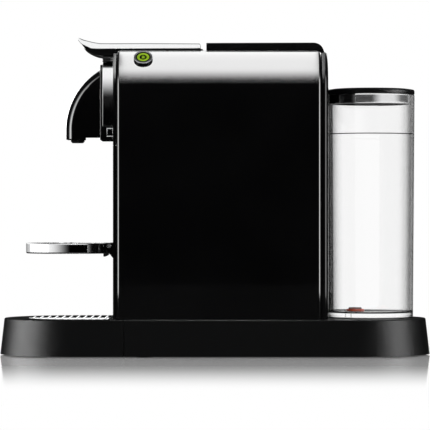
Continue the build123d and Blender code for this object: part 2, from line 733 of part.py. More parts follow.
def cam_point(angle, offset):
    """Point of the cam slot: the reach shrinks evenly as the lever lifts."""
    per_degree = cage_travel / lever_swing
    reach = follower_reach - per_degree * angle
    slope = degrees(per_degree)
    out_y, out_z = -cos(radians(angle)), -sin(radians(angle))
    along_y, along_z = sin(radians(angle)), -cos(radians(angle))
    length = hypot(reach, slope)
    normal_y = (reach * out_y + slope * along_y) / length
    normal_z = (reach * out_z + slope * along_z) / length
    return (pivot_y + reach * out_y + offset * normal_y,
            pivot_z + reach * out_z + offset * normal_z)


slot_radius = follower_pin / 2 + slot_play
cam_angles = [lever_swing * step / 6 for step in range(7)]
with BuildPart() as lever_cheeks:
    for side in (-1, 1):
        with BuildSketch(Plane.YZ.offset(side * cheek_inner)):
            with BuildLine():
                edge = [cam_point(angle, slot_radius + cheek_rim) for angle in cam_angles]
                top = lever_bottom - gap
                start = (pivot_y - follower_reach - slot_radius - cheek_rim, top)
                Line(start, edge[0])
                Spline(*edge)
                Line(edge[-1], (pivot_y + cheek_hub, pivot_z - 6))
                Line((pivot_y + cheek_hub, pivot_z - 6), (pivot_y + cheek_hub, top))
                Line((pivot_y + cheek_hub, top), start)
            make_face()
            with BuildLine():
                outer_side = [cam_point(angle, slot_radius) for angle in cam_angles]
                inner_side = [cam_point(angle, -slot_radius) for angle in reversed(cam_angles)]
                Spline(*outer_side)
                ThreePointArc(outer_side[-1], (
                    cam_point(lever_swing, 0)[0] + slot_radius * 0.9,
                    cam_point(lever_swing, 0)[1] - slot_radius * 0.435), inner_side[0])
                Spline(*inner_side)
                ThreePointArc(inner_side[-1], (
                    cam_point(0, 0)[0] + slot_radius * -0.39,
                    cam_point(0, 0)[1] + slot_radius * 0.92), outer_side[0])
            make_face(mode=Mode.SUBTRACT)
            with Locations((pivot_y, pivot_z)):
                Circle(pivot_pin / 2 + running_fit, mode=Mode.SUBTRACT)
        extrude(amount=side * cheek_plate)
finish(lever_cheeks, "lever_cheeks")

# ================================================================ buttons
cap_bottom = -4.0
switch_top = -5.2
switch_bottom = -14.0


def button_parts(plane, side):
    """Cap and lit ring of one button, made on its tilted plane."""
    top = button_proud - 0.3
    with BuildPart() as cap:
        with BuildSketch(plane.offset(cap_bottom)):
            Circle(button_cap / 2)
        extrude(amount=top - cap_bottom)
        with BuildSketch(plane.offset(top - lens_depth)):
            Circle(button_cap / 2)
            Circle(lens_inner / 2, mode=Mode.SUBTRACT)
        extrude(amount=2 * lens_depth, mode=Mode.SUBTRACT)
        with BuildSketch(plane.offset(cap_bottom - 5)):
            Circle(button_stem / 2)
        extrude(amount=5)
    with BuildPart() as lens:
        with BuildSketch(plane.offset(top - lens_depth)):
            Circle(button_cap / 2)
            Circle(lens_inner / 2, mode=Mode.SUBTRACT)
        extrude(amount=lens_depth)
    finish(cap, f"{side}_button")
    finish(lens, f"{side}_lens")


mirrored_plane = Plane(
    origin=(-button_plane.origin.X, button_y, button_plane.origin.Z),
    x_dir=(0, 1, 0),
    z_dir=(-cos(radians(button_tilt)), 0, sin(radians(button_tilt))),
)
button_parts(button_plane, "espresso")
button_parts(mirrored_plane, "lungo")

with BuildPart() as button_bezels:
    for plane in (button_plane, mirrored_plane):
        with BuildSketch(plane.offset(collar_top)):
            Circle(button_outer / 2)
            Circle(button_bore / 2, mode=Mode.SUBTRACT)
        extrude(amount=bezel_height)
finish(button_bezels, "button_bezels")

with BuildPart() as button_switches:
    for plane in (button_plane, mirrored_plane):
        with BuildSketch(plane.offset(switch_bottom)):
            Circle(9)
        extrude(amount=switch_top - switch_bottom)
        with BuildSketch(plane.offset(cap_bottom - 5 - button_travel - gap)):
            Circle(button_bore / 2)
        extrude(amount=20, mode=Mode.SUBTRACT)
finish(button_switches, "button_switches")

# ================================================================ pump, heater, electrics
with BuildPart() as pump_body:
    lengthways(pump_x, pump_inlet_y, pump_outlet_y, pump_z, pump_radius / 2)
    lengthways(pump_x, pump_front, pump_rear, pump_z, pump_radius)
    lengthways(pump_x, pump_inlet_y - 1, pump_outlet_y + 1, pump_z, 2, Mode.SUBTRACT)
finish(pump_body, "pump_body")

coil_front, coil_rear = pump_front + 10, pump_rear - 10
with BuildPart() as pump_coil:
    block(pump_x - 19, pump_x + 19, coil_front, coil_rear, pump_z - 22, pump_z + 22)
    fillet(pump_coil.edges().filter_by(Axis.Y), 3)
    lengthways(pump_x, coil_front - 1, coil_rear + 1, pump_z, pump_radius + running_fit,
               Mode.SUBTRACT)
finish(pump_coil, "pump_coil")

with BuildPart() as pump_mounts:
    for y in (pump_front - mount_width, pump_rear):
        lengthways(pump_x, y, y + mount_width, pump_z, mount_radius)
        lengthways(pump_x, y - 1, y + mount_width + 1, pump_z, pump_radius / 2 + running_fit,
                   Mode.SUBTRACT)
finish(pump_mounts, "pump_mounts")

meter_low, meter_high = meter_z - meter_height / 2, meter_z + meter_height / 2
with BuildPart() as flow_meter_housing:
    upright(meter_x, meter_y, meter_low, meter_high, meter_radius)
    upright(meter_x, meter_y, meter_low + 2, meter_high - 2, meter_radius - 2, Mode.SUBTRACT)
    upright(meter_x, meter_y, meter_low + 1, meter_high - 1, 1.0)
    crossways(meter_x + meter_radius - 1, meter_x + meter_radius + meter_nipple, meter_y,
              meter_z, hose_outer / 2)
    crossways(meter_x + meter_radius - 3, meter_x + meter_radius + 6, meter_y, meter_z,
              hose_bore / 2, Mode.SUBTRACT)
    lengthways(meter_x, meter_y - meter_radius - meter_nipple, meter_y - meter_radius + 1,
               meter_z, hose_outer / 2)
    lengthways(meter_x, meter_y - meter_radius - 6, meter_y - meter_radius + 3, meter_z,
               hose_bore / 2, Mode.SUBTRACT)
finish(flow_meter_housing, "flow_meter_housing")

with BuildPart() as flow_meter_rotor:
    upright(meter_x, meter_y, meter_z - 4, meter_z + 4, 3.5)
    for turn in range(4):
        with Locations(Location((meter_x, meter_y, meter_z), (0, 0, 90 * turn))):
            with Locations((5.5, 0, 0)):
                Box(9, 1.5, 8)
    upright(meter_x, meter_y, meter_low, meter_high, 1.0 + running_fit, Mode.SUBTRACT)
finish(flow_meter_rotor, "flow_meter_rotor")

inlet_x, outlet_x = 12.0, 11.0
stub = 6.0            # height of the hose stubs on the heater
heater_foot = 6.0
fin_pitch, fin_slot = 8, 1.5
with BuildPart() as heater_block:
    block(-heater_half, heater_half, heater_front, heater_rear, heater_bottom + heater_foot,
          heater_top)
    block(-heater_half + 2, heater_half - 2, heater_front + 2, heater_rear - 2, heater_bottom,
          heater_bottom + heater_foot)
    fillet(heater_block.edges().filter_by(Axis.Z), 1.9)
    for y in range(int(heater_front) + fin_pitch, int(heater_rear) - 4, fin_pitch):
        for side in (-1, 1):
            block(side * heater_half - 2.5, side * heater_half + 2.5, y - fin_slot, y + fin_slot,
                  heater_bottom + heater_foot + 4, heater_top - 6, Mode.SUBTRACT)
    upright(inlet_x, heater_rear - 10, heater_top, heater_top + stub, hose_outer / 2)
    upright(outlet_x, heater_front + 10, heater_top, heater_top + stub, hose_outer / 2)
finish(heater_block, "heater_block")

cup_radius, cup_height = 7.0, 7.0
with BuildPart() as thermostats:
    for y in (heater_front + 26, heater_front + 42):
        upright(-10, y, heater_top, heater_top + cup_height, cup_radius)
        for x in (-13, -7):
            block(x - 0.4, x + 0.4, y - 3, y + 3, heater_top + cup_height,
                  heater_top + cup_height + 6)
finish(thermostats, "thermostats")

board_half = 0.8
board_bottom = chassis_floor + chassis_plate + 1.2
board_height = 104.0
# Places (y, height up the board) and sizes (width, height, depth) of the larger components.
components = [(20, 49, 14, 20, 16), (45, 50, 18, 14, 12), (66, 44, 10, 26, 9),
              (30, 79, 22, 10, 8), (62, 82, 16, 16, 14)]
with BuildPart() as control_board:
    block(board_x - board_half, board_x + board_half, board_front, board_rear, board_bottom,
          board_bottom + board_height)
    for y, rise, width, height, depth in components:
        z = board_bottom + rise
        block(board_x, board_x + board_half + depth, y - width / 2, y + width / 2,
              z - height / 2, z + height / 2)
finish(control_board, "control_board")

# ================================================================ hoses
loop_z = injector_top + 10
with BuildPart() as suction_hose:
    hose([(0, nipple_front, nipple_z), (0, riser_y, nipple_z), (0, riser_y, meter_z),
          (0, meter_y, meter_z), (meter_x + meter_radius + meter_nipple, meter_y, meter_z)],
         hose_outer, hose_bore, hose_bend)
finish(suction_hose, "suction_hose")

with BuildPart() as meter_hose:
    turn_y = -2.6
    hose([(meter_x, meter_y - meter_radius - meter_nipple, meter_z), (meter_x, turn_y, meter_z),
          (pump_x, turn_y, pump_z), (pump_x, pump_inlet_y, pump_z)],
         hose_outer, hose_bore, hose_bend)
finish(meter_hose, "meter_hose")

with BuildPart() as pressure_hose:
    hose([(pump_x, pump_outlet_y, pump_z), (pump_x, pressure_riser_y, pump_z),
          (pump_x, pressure_riser_y, heater_top + 14),
          (inlet_x, heater_rear - 10, heater_top + 14), (inlet_x, heater_rear - 10, heater_top + stub)],
         hose_outer, hose_bore, hose_bend)
finish(pressure_hose, "pressure_hose")

with BuildPart() as brew_hose:
    hose([(outlet_x, heater_front + 10, heater_top + stub), (outlet_x, heater_front + 10, loop_z),
          (0, injector_y, loop_z), (0, injector_y, injector_top)],
         hose_outer, hose_bore, 3.5)
finish(brew_hose, "brew_hose")

# ================================================================ water tank
with BuildPart() as water_tank:
    with BuildSketch(Plane.XY.offset(tank_bottom)):
        with Locations((0, tank_y)):
            Circle(tank_foot_radius)
    with BuildSketch(Plane.XY.offset(tank_top)):
        with Locations((0, tank_y)):
            Circle(tank_radius)
    loft()
    fillet(water_tank.faces().sort_by(Axis.Z)[0].edges(), 1.5)
    with BuildSketch(Plane.XY.offset(tank_bottom + tank_floor)):
        with Locations((0, tank_y)):
            Circle(tank_foot_radius - tank_wall)
    with BuildSketch(Plane.XY.offset(tank_top)):
        with Locations((0, tank_y)):
            Circle(tank_radius - tank_wall)
    loft(mode=Mode.SUBTRACT)
    upright(0, valve_y, spigot_bottom, tank_bottom + 1, spigot_outer / 2)
    upright(0, valve_y, spigot_bottom - 1, tank_bottom - 1.2, spigot_bore / 2, Mode.SUBTRACT)
    upright(0, valve_y, tank_bottom - 2, tank_bottom + 8, valve_stem / 2 + running_fit,
            Mode.SUBTRACT)
    with Locations((0, valve_y, tank_bottom + 1)):
        with PolarLocations(3.7, 3):
            Cylinder(1.1, 12, mode=Mode.SUBTRACT)
finish(water_tank, "water_tank")

lid_bottom = tank_top + gap
with BuildPart() as tank_lid:
    upright(0, tank_y, lid_bottom, lid_top, tank_radius)
    fillet(tank_lid.faces().sort_by(Axis.Z)[-1].edges(), 2.2)
finish(tank_lid, "tank_lid")

collar_outer = tank_radius - tank_wall - 2 * gap
with BuildPart() as lid_collar:
    upright(0, tank_y, lid_bottom - lid_skirt, lid_bottom, collar_outer)
    upright(0, tank_y, lid_bottom - lid_skirt - 1, lid_bottom + 1, collar_outer - collar_wall,
            Mode.SUBTRACT)
finish(lid_collar, "lid_collar")

port_top = tank_bottom + tank_floor
seal_minor = seal_thick / 2
seal_major = seal_outer / 2 - seal_minor
neck = seal_major - seal_minor - running_fit
with BuildPart() as valve_plunger:
    upright(0, valve_y, port_top + gap, valve_top - 1.6, neck)
    upright(0, valve_y, valve_top - 1.6, valve_top, valve_head / 2)
    fillet(valve_plunger.faces().sort_by(Axis.Z)[-1].edges(), 0.8)
    upright(0, valve_y, stem_bottom + 1, port_top + gap, valve_stem / 2)
    upright(0, valve_y, stem_bottom, stem_bottom + 1, 4.2)
finish(valve_plunger, "valve_plunger")

with BuildPart() as valve_seal:
    with Locations((0, valve_y, port_top + gap + seal_minor)):
        Torus(seal_major, seal_minor)
finish(valve_seal, "valve_seal")

spring_low = stem_bottom + 1 + spring_wire + 0.1
spring_high = tank_bottom - 1.2 - spring_wire - 0.1
with BuildPart() as valve_spring:
    with BuildLine(mode=Mode.PRIVATE) as coil:
        Helix(pitch=(spring_high - spring_low) / 2.5, height=spring_high - spring_low,
              radius=spring_radius, center=(0, valve_y, spring_low))
    turn = coil.wires()[0]
    with BuildSketch(Plane(origin=turn @ 0, z_dir=turn % 0)):
        Circle(spring_wire / 2)
    sweep(path=turn, is_frenet=True)
finish(valve_spring, "valve_spring")

# ================================================================ drip unit
grid_margin_length = 2 * -grid_front
with BuildPart() as drip_base:
    with BuildSketch(Plane.XY.offset(foot_stand)):
        stadium(base_length, base_width)
    extrude(amount=base_height, taper=base_draft)
    fillet(drip_base.faces().sort_by(Axis.Z)[-1].edges(), base_edge)
    block(-base_width, base_width, seam_y - seam / 2, base_length, 0, 2 * base_top,
          Mode.SUBTRACT)
    with BuildSketch(Plane.XY.offset(tray_floor - gap)):
        stadium(grid_margin_length + 2 * gap, 2 * (grid_half + gap))
        keep_front_of(grid_rear + gap)
    extrude(amount=base_top, mode=Mode.SUBTRACT)
    block(-tongue_half, tongue_half, seam_y - seam / 2 - 1, tongue_rear, tongue_bottom,
          tongue_top)
    for x, y in ((-30, grid_front + 15), (30, grid_front + 15), (0, grid_front - 7)):
        upright(x, y, 0, foot_stand + 0.5, foot_radius - 1)
finish(drip_base, "drip_base")

tray_top = grid_top - grid_thick - 0.05
with BuildPart() as drip_tray:
    with BuildSketch(Plane.XY.offset(tray_floor)):
        stadium(grid_margin_length, 2 * grid_half)
        keep_front_of(grid_rear)
    extrude(amount=tray_top - tray_floor)
    with BuildSketch(Plane.XY.offset(tray_floor + tray_wall)):
        stadium(grid_margin_length - 2 * tray_wall, 2 * (grid_half - tray_wall))
        keep_front_of(grid_rear - tray_wall)
    extrude(amount=base_top, mode=Mode.SUBTRACT)
finish(drip_tray, "drip_tray")

slot_count = int((grid_rear - grid_front - 2 * grid_border) // grid_pitch)
slot_start = grid_rear - grid_border - grid_pitch / 2
with BuildPart() as drip_grid:
    with BuildSketch(Plane.XY.offset(grid_top - grid_thick)):
        stadium(grid_margin_length, 2 * grid_half)
        keep_front_of(grid_rear)
    extrude(amount=grid_thick)
    with BuildSketch(Plane.XY.offset(grid_top - grid_thick)):
        stadium(grid_margin_length - 2 * grid_border, 2 * (grid_half - grid_border))
        keep_front_of(grid_rear - grid_border)
        with BuildSketch(mode=Mode.INTERSECT):
            for index in range(slot_count):
                with Locations((0, slot_start - index * grid_pitch)):
                    Rectangle(4 * grid_half, grid_slot)
        with Locations((0, (grid_front + grid_rear) / 2)):
            Rectangle(2.5, 2 * grid_half, mode=Mode.SUBTRACT)
    extrude(amount=grid_thick, mode=Mode.SUBTRACT)
finish(drip_grid, "drip_grid")

bin_step_y = seam_y + seam / 2 + 0.8
bin_step_z = base_top + 1.3
bin_bottom = tongue_top + 0.1
with BuildPart() as capsule_container:
    block(-bin_half, bin_half, bin_step_y, bin_rear, bin_bottom, bin_top)
    block(-bin_half, bin_half, bin_front, bin_step_y, bin_step_z, bin_top)
    fillet(capsule_container.edges().filter_by(Axis.Z), 1.5)
    block(-bin_half + bin_wall, bin_half - bin_wall, bin_step_y + bin_wall, bin_rear - bin_wall,
          bin_bottom + bin_wall, bin_top + 1, Mode.SUBTRACT)
    block(-bin_half + bin_wall, bin_half - bin_wall, bin_front + bin_wall, bin_rear - bin_wall,
          bin_step_z + bin_wall, bin_top + 1, Mode.SUBTRACT)
finish(capsule_container, "capsule_container")

panel_front = fascia_front
panel_back = body_front - gap
shelf_bottom = support_bottom - 5.2
shelf_nose = support_bottom - 0.8
ear_inner = hinge_lug_half + gap
ear_outer = ear_inner + hinge_ear
with BuildPart() as front_panel:
    block(-body_half + front_inset, body_half - front_inset, panel_front, panel_back,
          base_top + gap, head_line - seam / 2)
    for side in (-1, 1):
        low, high = sorted((side * ear_inner, side * ear_outer))
        with BuildSketch(Plane.YZ.offset(low)):
            with BuildLine():
                Polyline((hinge_y, hinge_z + ear_round), (panel_front + 0.5, hinge_z + ear_round),
                         (panel_front + 0.5, shelf_bottom), (panel_front - 0.4, shelf_bottom),
                         (hinge_y + 0.9, shelf_nose), (hinge_y - ear_round, hinge_z - 2.9),
                         (hinge_y - ear_round, hinge_z))
                RadiusArc((hinge_y - ear_round, hinge_z), (hinge_y, hinge_z + ear_round), ear_round)
            make_face()
        extrude(amount=high - low)
    with BuildSketch(Plane.YZ):
        with BuildLine():
            Polyline((panel_front + 0.5, shelf_bottom), (panel_front - 0.4, shelf_bottom),
                     (hinge_y + 0.9, shelf_nose), (hinge_y + 0.9, shelf_nose + 1.9),
                     (panel_front + 0.5, shelf_nose + 2.6), close=True)
        make_face()
    extrude(amount=ear_inner, both=True)
    crossways(-ear_outer - 1, ear_outer + 1, hinge_y, hinge_z, hinge_pin / 2 + running_fit,
              Mode.SUBTRACT)
finish(front_panel, "front_panel")

with BuildPart() as support_hinge_pin:
    crossways(-ear_outer, ear_outer, hinge_y, hinge_z, hinge_pin / 2)
finish(support_hinge_pin, "support_hinge_pin")

insert_radius = support_radius - support_wall - gap
insert_thick = 1.8
ledge_top = support_top - gap - insert_thick
lug_front = hinge_y - 5.0
stop_top = support_bottom + 0.5
with BuildPart() as cup_support_ring:
    upright(0, support_y, support_bottom, support_top, support_radius)
    fillet(cup_support_ring.edges(), 1.2)
    upright(0, support_y, support_bottom - 1, support_top + 1, support_radius - support_wall - 2,
            Mode.SUBTRACT)
    upright(0, support_y, ledge_top, support_top + 1, support_radius - support_wall,
            Mode.SUBTRACT)
    block(-2 * support_radius, 2 * support_radius, hinge_y - ear_round - 2 * gap, 0, 0,
          2 * support_top, Mode.SUBTRACT)
    block(-hinge_lug_half, hinge_lug_half, lug_front, hinge_y, support_bottom + gap,
          support_top)
    crossways(-hinge_lug_half, hinge_lug_half, hinge_y, hinge_z, support_top - hinge_z)
    with BuildSketch(Plane.YZ):
        with BuildLine():
            knuckle = (lug_front, support_bottom - 2.6)
            tail = (hinge_y - 0.2, support_bottom + 0.2)
            Line((lug_front, stop_top), knuckle)
            ThreePointArc(knuckle, (hinge_y - 1.6, support_bottom - 1.8), tail)
            Polyline(tail, (hinge_y - 0.2, stop_top), (lug_front, stop_top))
        make_face()
    extrude(amount=hinge_lug_half, both=True)
    crossways(-hinge_lug_half - 1, hinge_lug_half + 1, hinge_y, hinge_z,
              hinge_pin / 2 + running_fit, Mode.SUBTRACT)
finish(cup_support_ring, "cup_support_ring")

with BuildPart() as cup_support_grid:
    upright(0, support_y, ledge_top + 0.05, support_top - gap, insert_radius)
    block(-2 * support_radius, 2 * support_radius, lug_front - gap, 0, 0, 2 * support_top,
          Mode.SUBTRACT)
    with BuildSketch(Plane((0, support_y, ledge_top))):
        Circle(insert_radius - 5)
        with BuildSketch(mode=Mode.INTERSECT):
            with GridLocations(1, 6, 1, 9):
                Rectangle(4 * support_radius, 3)
        Rectangle(2.5, 4 * support_radius, mode=Mode.SUBTRACT)
    extrude(amount=3, mode=Mode.SUBTRACT)
finish(cup_support_grid, "cup_support_grid")
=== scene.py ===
import json
import math

import bmesh
import bpy
from mathutils import Matrix, Vector

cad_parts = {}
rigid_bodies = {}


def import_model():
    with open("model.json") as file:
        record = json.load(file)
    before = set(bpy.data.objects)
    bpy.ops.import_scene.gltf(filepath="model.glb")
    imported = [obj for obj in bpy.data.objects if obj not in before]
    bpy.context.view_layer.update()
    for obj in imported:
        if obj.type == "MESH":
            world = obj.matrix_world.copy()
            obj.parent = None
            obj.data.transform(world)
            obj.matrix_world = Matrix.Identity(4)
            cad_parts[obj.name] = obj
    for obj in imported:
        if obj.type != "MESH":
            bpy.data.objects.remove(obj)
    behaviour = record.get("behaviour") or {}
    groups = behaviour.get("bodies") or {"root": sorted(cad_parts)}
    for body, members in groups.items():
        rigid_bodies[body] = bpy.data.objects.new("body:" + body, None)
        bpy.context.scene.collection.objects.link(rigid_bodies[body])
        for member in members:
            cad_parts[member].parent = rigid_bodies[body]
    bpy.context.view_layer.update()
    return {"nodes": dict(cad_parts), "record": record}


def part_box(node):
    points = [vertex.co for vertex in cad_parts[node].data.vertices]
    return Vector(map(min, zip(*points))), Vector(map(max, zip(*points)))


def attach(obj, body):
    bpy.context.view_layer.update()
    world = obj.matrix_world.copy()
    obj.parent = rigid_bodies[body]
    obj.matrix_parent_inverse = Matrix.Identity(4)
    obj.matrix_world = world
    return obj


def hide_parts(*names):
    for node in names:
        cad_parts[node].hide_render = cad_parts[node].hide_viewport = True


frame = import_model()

MM = 0.001
nodes = frame["nodes"]
slot_of_node = {part["node"]: part["material_slot"] for part in frame["record"]["subparts"]}


def box_mm(node):
    """Lowest and highest corner of a CAD node in millimetres."""
    low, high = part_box(node)
    return low / MM, high / MM


# ------------------------------------------------------------------ camera
EYE_DISTANCE = 2.5
EYE_HEIGHT = 0.121
PICTURE_WIDTH = 0.373
SENSOR = 36.0


def make_camera():
    data = bpy.data.cameras.new("camera")
    data.sensor_width = SENSOR
    data.lens = SENSOR * EYE_DISTANCE / PICTURE_WIDTH
    data.clip_end = 50
    camera = bpy.data.objects.new("camera", data)
    camera.location = (EYE_DISTANCE, 0, EYE_HEIGHT)
    camera.rotation_euler = (math.radians(90), 0, math.radians(90))
    bpy.context.scene.collection.objects.link(camera)
    bpy.context.scene.camera = camera


# ------------------------------------------------------------------ materials
def shader(name, color, roughness, metallic=0.0, specular=0.5, ior=1.5):
    """A new material and its Principled shader."""
    material = bpy.data.materials.new(name)
    material.use_nodes = True
    principled = material.node_tree.nodes["Principled BSDF"]
    principled.inputs["Base Color"].default_value = (*color, 1)
    principled.inputs["Roughness"].default_value = roughness
    principled.inputs["Metallic"].default_value = metallic
    principled.inputs["Specular IOR Level"].default_value = specular
    principled.inputs["IOR"].default_value = ior
    return material, principled


def add_node(material, kind, **settings):
    made = material.node_tree.nodes.new(kind)
    for key, value in settings.items():
        setattr(made, key, value)
    return made


def link(material, source, output, target, name):
    """Joins an output to an input; each is given by its name or number."""
    material.node_tree.links.new(source.outputs[output], target.inputs[name])


def ramp_node(material, stops, eased=False):
    """A grey ramp through (position, level) stops, straight or eased between them."""
    ramp = add_node(material, "ShaderNodeValToRGB")
    if eased:
        ramp.color_ramp.interpolation = "EASE"
    elements = ramp.color_ramp.elements
    while len(elements) < len(stops):
        elements.new(0.5)
    for element, (position, value) in zip(elements, stops):
        element.position = position
        element.color = (value, value, value, 1)
    return ramp


def object_coordinates(material):
    place = add_node(material, "ShaderNodeTexCoord")
    split = add_node(material, "ShaderNodeSeparateXYZ")
    link(material, place, "Object", split, "Vector")
    return split


def math_node(material, operation, first, second=None):
    """One sum of numbers or (node, output) pairs; it returns such a pair."""
    made = add_node(material, "ShaderNodeMath", operation=operation)
    for index, value in enumerate((first, second)):
        if value is None:
            continue
        if isinstance(value, tuple):
            link(material, *value, made, index)
        else:
            made.inputs[index].default_value = value
    return (made, "Value")


def shaped(material, value, stops, eased=False):
    """A value looked up in a ramp of (position, level) stops."""
    ramp = ramp_node(material, stops, eased)
    link(material, *value, ramp, "Fac")
    return (ramp, "Color")


def spread(material, value, low, high, to_low=0.0, to_high=1.0, smooth=False):
    """Value rescaled from one range to another and held at its ends."""
    scale = add_node(material, "ShaderNodeMapRange")
    if smooth:
        scale.interpolation_type = "SMOOTHSTEP"
    scale.inputs["From Min"].default_value = low
    scale.inputs["From Max"].default_value = high
    scale.inputs["To Min"].default_value = to_low
    scale.inputs["To Max"].default_value = to_high
    link(material, *value, scale, "Value")
    return (scale, "Result")


def mix_shaders(material, factor, first, second):
    mix = add_node(material, "ShaderNodeMixShader")
    link(material, *factor, mix, 0)
    link(material, first, 0, mix, 1)
    link(material, second, 0, mix, 2)
    return mix


def add_shaders(material, first, second):
    both = add_node(material, "ShaderNodeAddShader")
    link(material, first, 0, both, 0)
    link(material, second, 0, both, 1)
    return both


def emission(material, strength):
    """White glow; its strength is a number or another node's output."""
    glow = add_node(material, "ShaderNodeEmission")
    if isinstance(strength, tuple):
        link(material, *strength, glow, "Strength")
    else:
        glow.inputs["Strength"].default_value = strength
    return glow


def finish_material(material, surface):
    link(material, surface, 0, add_node(material, "ShaderNodeOutputMaterial"), "Surface")


def noise(material, scale, detail, stretch=(1, 1, 1)):
    """Solid noise in object space, in cells per metre."""
    place = add_node(material, "ShaderNodeTexCoord")
    mapping = add_node(material, "ShaderNodeMapping")
    mapping.inputs["Scale"].default_value = stretch
    texture = add_node(material, "ShaderNodeTexNoise")
    texture.inputs["Scale"].default_value = scale
    texture.inputs["Detail"].default_value = detail
    link(material, place, "Object", mapping, "Vector")
    link(material, mapping, "Vector", texture, "Vector")
    return texture


NOISE_RANGE = (0.3, 0.7)   # most of a noise lies between these


def vary_roughness(material, principled, scale, low, high, stretch=(1, 1, 1)):
    texture = noise(material, scale, 3.0, stretch)
    roughness = spread(material, (texture, "Fac"), *NOISE_RANGE, low, high)
    link(material, *roughness, principled, "Roughness")


def bump(material, principled, scale, strength, distance, stretch=(1, 1, 1)):
    texture = noise(material, scale, 2.0, stretch)
    relief = add_node(material, "ShaderNodeBump")
    relief.inputs["Strength"].default_value = strength
    relief.inputs["Distance"].default_value = distance
    link(material, texture, "Fac", relief, "Height")
    link(material, relief, "Normal", principled, "Normal")


def vary_color(material, principled, scale, dark, light):
    texture = noise(material, scale, 3.0)
    ramp = add_node(material, "ShaderNodeValToRGB")
    ramp.color_ramp.elements[0].position = 0.35
    ramp.color_ramp.elements[0].color = (*dark, 1)
    ramp.color_ramp.elements[1].position = 0.65
    ramp.color_ramp.elements[1].color = (*light, 1)
    link(material, texture, "Fac", ramp, "Fac")
    link(material, ramp, "Color", principled, "Base Color")


def gloss_black():
    material, principled = shader("gloss_black", (0.0025, 0.0025, 0.0027), 0.04)
    vary_roughness(material, principled, 40, 0.02, 0.05)
    vary_color(material, principled, 15, (0.002, 0.002, 0.0022), (0.003, 0.003, 0.0032))
    return material


def satin_black():
    material, principled = shader("satin_black", (0.003, 0.0032, 0.0035), 0.34, specular=0.4)
    vary_roughness(material, principled, 900, 0.32, 0.38)
    bump(material, principled, 2600, 0.1, 0.00005)
    return material


def inner_black():
    material, principled = shader("inner_black", (0.006, 0.006, 0.0065), 0.4, specular=0.35)
    vary_color(material, principled, 30, (0.005, 0.005, 0.0055), (0.009, 0.009, 0.0095))
    bump(material, principled, 1800, 0.15, 0.00008)
    return material


def rubber():
    material, principled = shader("rubber", (0.02, 0.02, 0.02), 0.8)
    vary_color(material, principled, 60, (0.015, 0.015, 0.015), (0.03, 0.03, 0.03))
    bump(material, principled, 1500, 0.3, 0.0001)
    return material


def chrome():
    material, principled = shader("chrome", (0.9, 0.905, 0.91), 0.03, metallic=1.0)
    vary_roughness(material, principled, 70, 0.015, 0.035)
    return material


def steel():
    material, principled = shader("steel", (0.66, 0.67, 0.68), 0.2, metallic=1.0)
    vary_roughness(material, principled, 300, 0.14, 0.24, stretch=(0.05, 1, 1))
    bump(material, principled, 900, 0.08, 0.00004, stretch=(0.03, 1, 1))
    return material


def clear():
    material, principled = shader("clear", (0.98, 0.985, 0.985), 0.01, specular=0.25, ior=1.49)
    principled.inputs["Transmission Weight"].default_value = 1.0
    # Painted shade: the base colour darkens towards the wall's edges as the surface turns away from view,
    # standing in for the dark edges of the glass.
    facing = add_node(material, "ShaderNodeLayerWeight")
    facing.inputs["Blend"].default_value = 0.5
    ramp = ramp_node(material, [(0.22, 1.0), (0.75, 0.08)], eased=True)
    link(material, facing, "Facing", ramp, "Fac")
    link(material, ramp, "Color", principled, "Base Color")
    vary_roughness(material, principled, 60, 0.005, 0.015)
    return material


def red_rubber():
    material, principled = shader("red_rubber", (0.9, 0.1, 0.03), 0.35)
    vary_color(material, principled, 120, (0.84, 0.085, 0.025), (0.95, 0.12, 0.035))
    return material


def button_black():
    material, principled = shader("button_black", (0.003, 0.0045, 0.003), 0.12)
    vary_roughness(material, principled, 400, 0.1, 0.16)
    return material


def lit_green():
    material, principled = shader("lit_green", (0.06, 0.12, 0.004), 0.25)
    vary_color(material, principled, 160, (0.05, 0.1, 0.003), (0.1, 0.17, 0.008))
    principled.inputs["Emission Color"].default_value = (0.5, 0.8, 0.02, 1)
    principled.inputs["Emission Strength"].default_value = 0.35
    return material


def aluminium():
    material, principled = shader("aluminium", (0.62, 0.63, 0.64), 0.45, metallic=1.0)
    bump(material, principled, 700, 0.4, 0.0002)
    return material


def pump_plastic():
    material, principled = shader("pump_plastic", (0.62, 0.6, 0.52), 0.4)
    vary_color(material, principled, 40, (0.56, 0.54, 0.46), (0.66, 0.64, 0.57))
    return material


def coil():
    material, principled = shader("coil", (0.05, 0.05, 0.055), 0.5)
    vary_color(material, principled, 80, (0.04, 0.04, 0.045), (0.09, 0.09, 0.095))
    return material


def board():
    material, principled = shader("board", (0.02, 0.16, 0.05), 0.4)
    vary_color(material, principled, 90, (0.015, 0.12, 0.04), (0.03, 0.2, 0.07))
    return material


def hose():
    material, principled = shader("hose", (0.7, 0.7, 0.67), 0.4)
    vary_color(material, principled, 60, (0.64, 0.64, 0.6), (0.74, 0.74, 0.71))
    return material


MAKERS = [gloss_black, satin_black, inner_black, rubber, chrome, steel, clear, red_rubber, button_black,
          lit_green, aluminium, pump_plastic, coil, board, hose]
look = {maker.__name__: maker() for maker in MAKERS}


def dress_cad_nodes():
    for name, slot in slot_of_node.items():
        obj = nodes[name]
        if not obj.material_slots:
            obj.data.materials.append(look[slot])
        for entry in obj.material_slots:
            entry.material = look[slot]


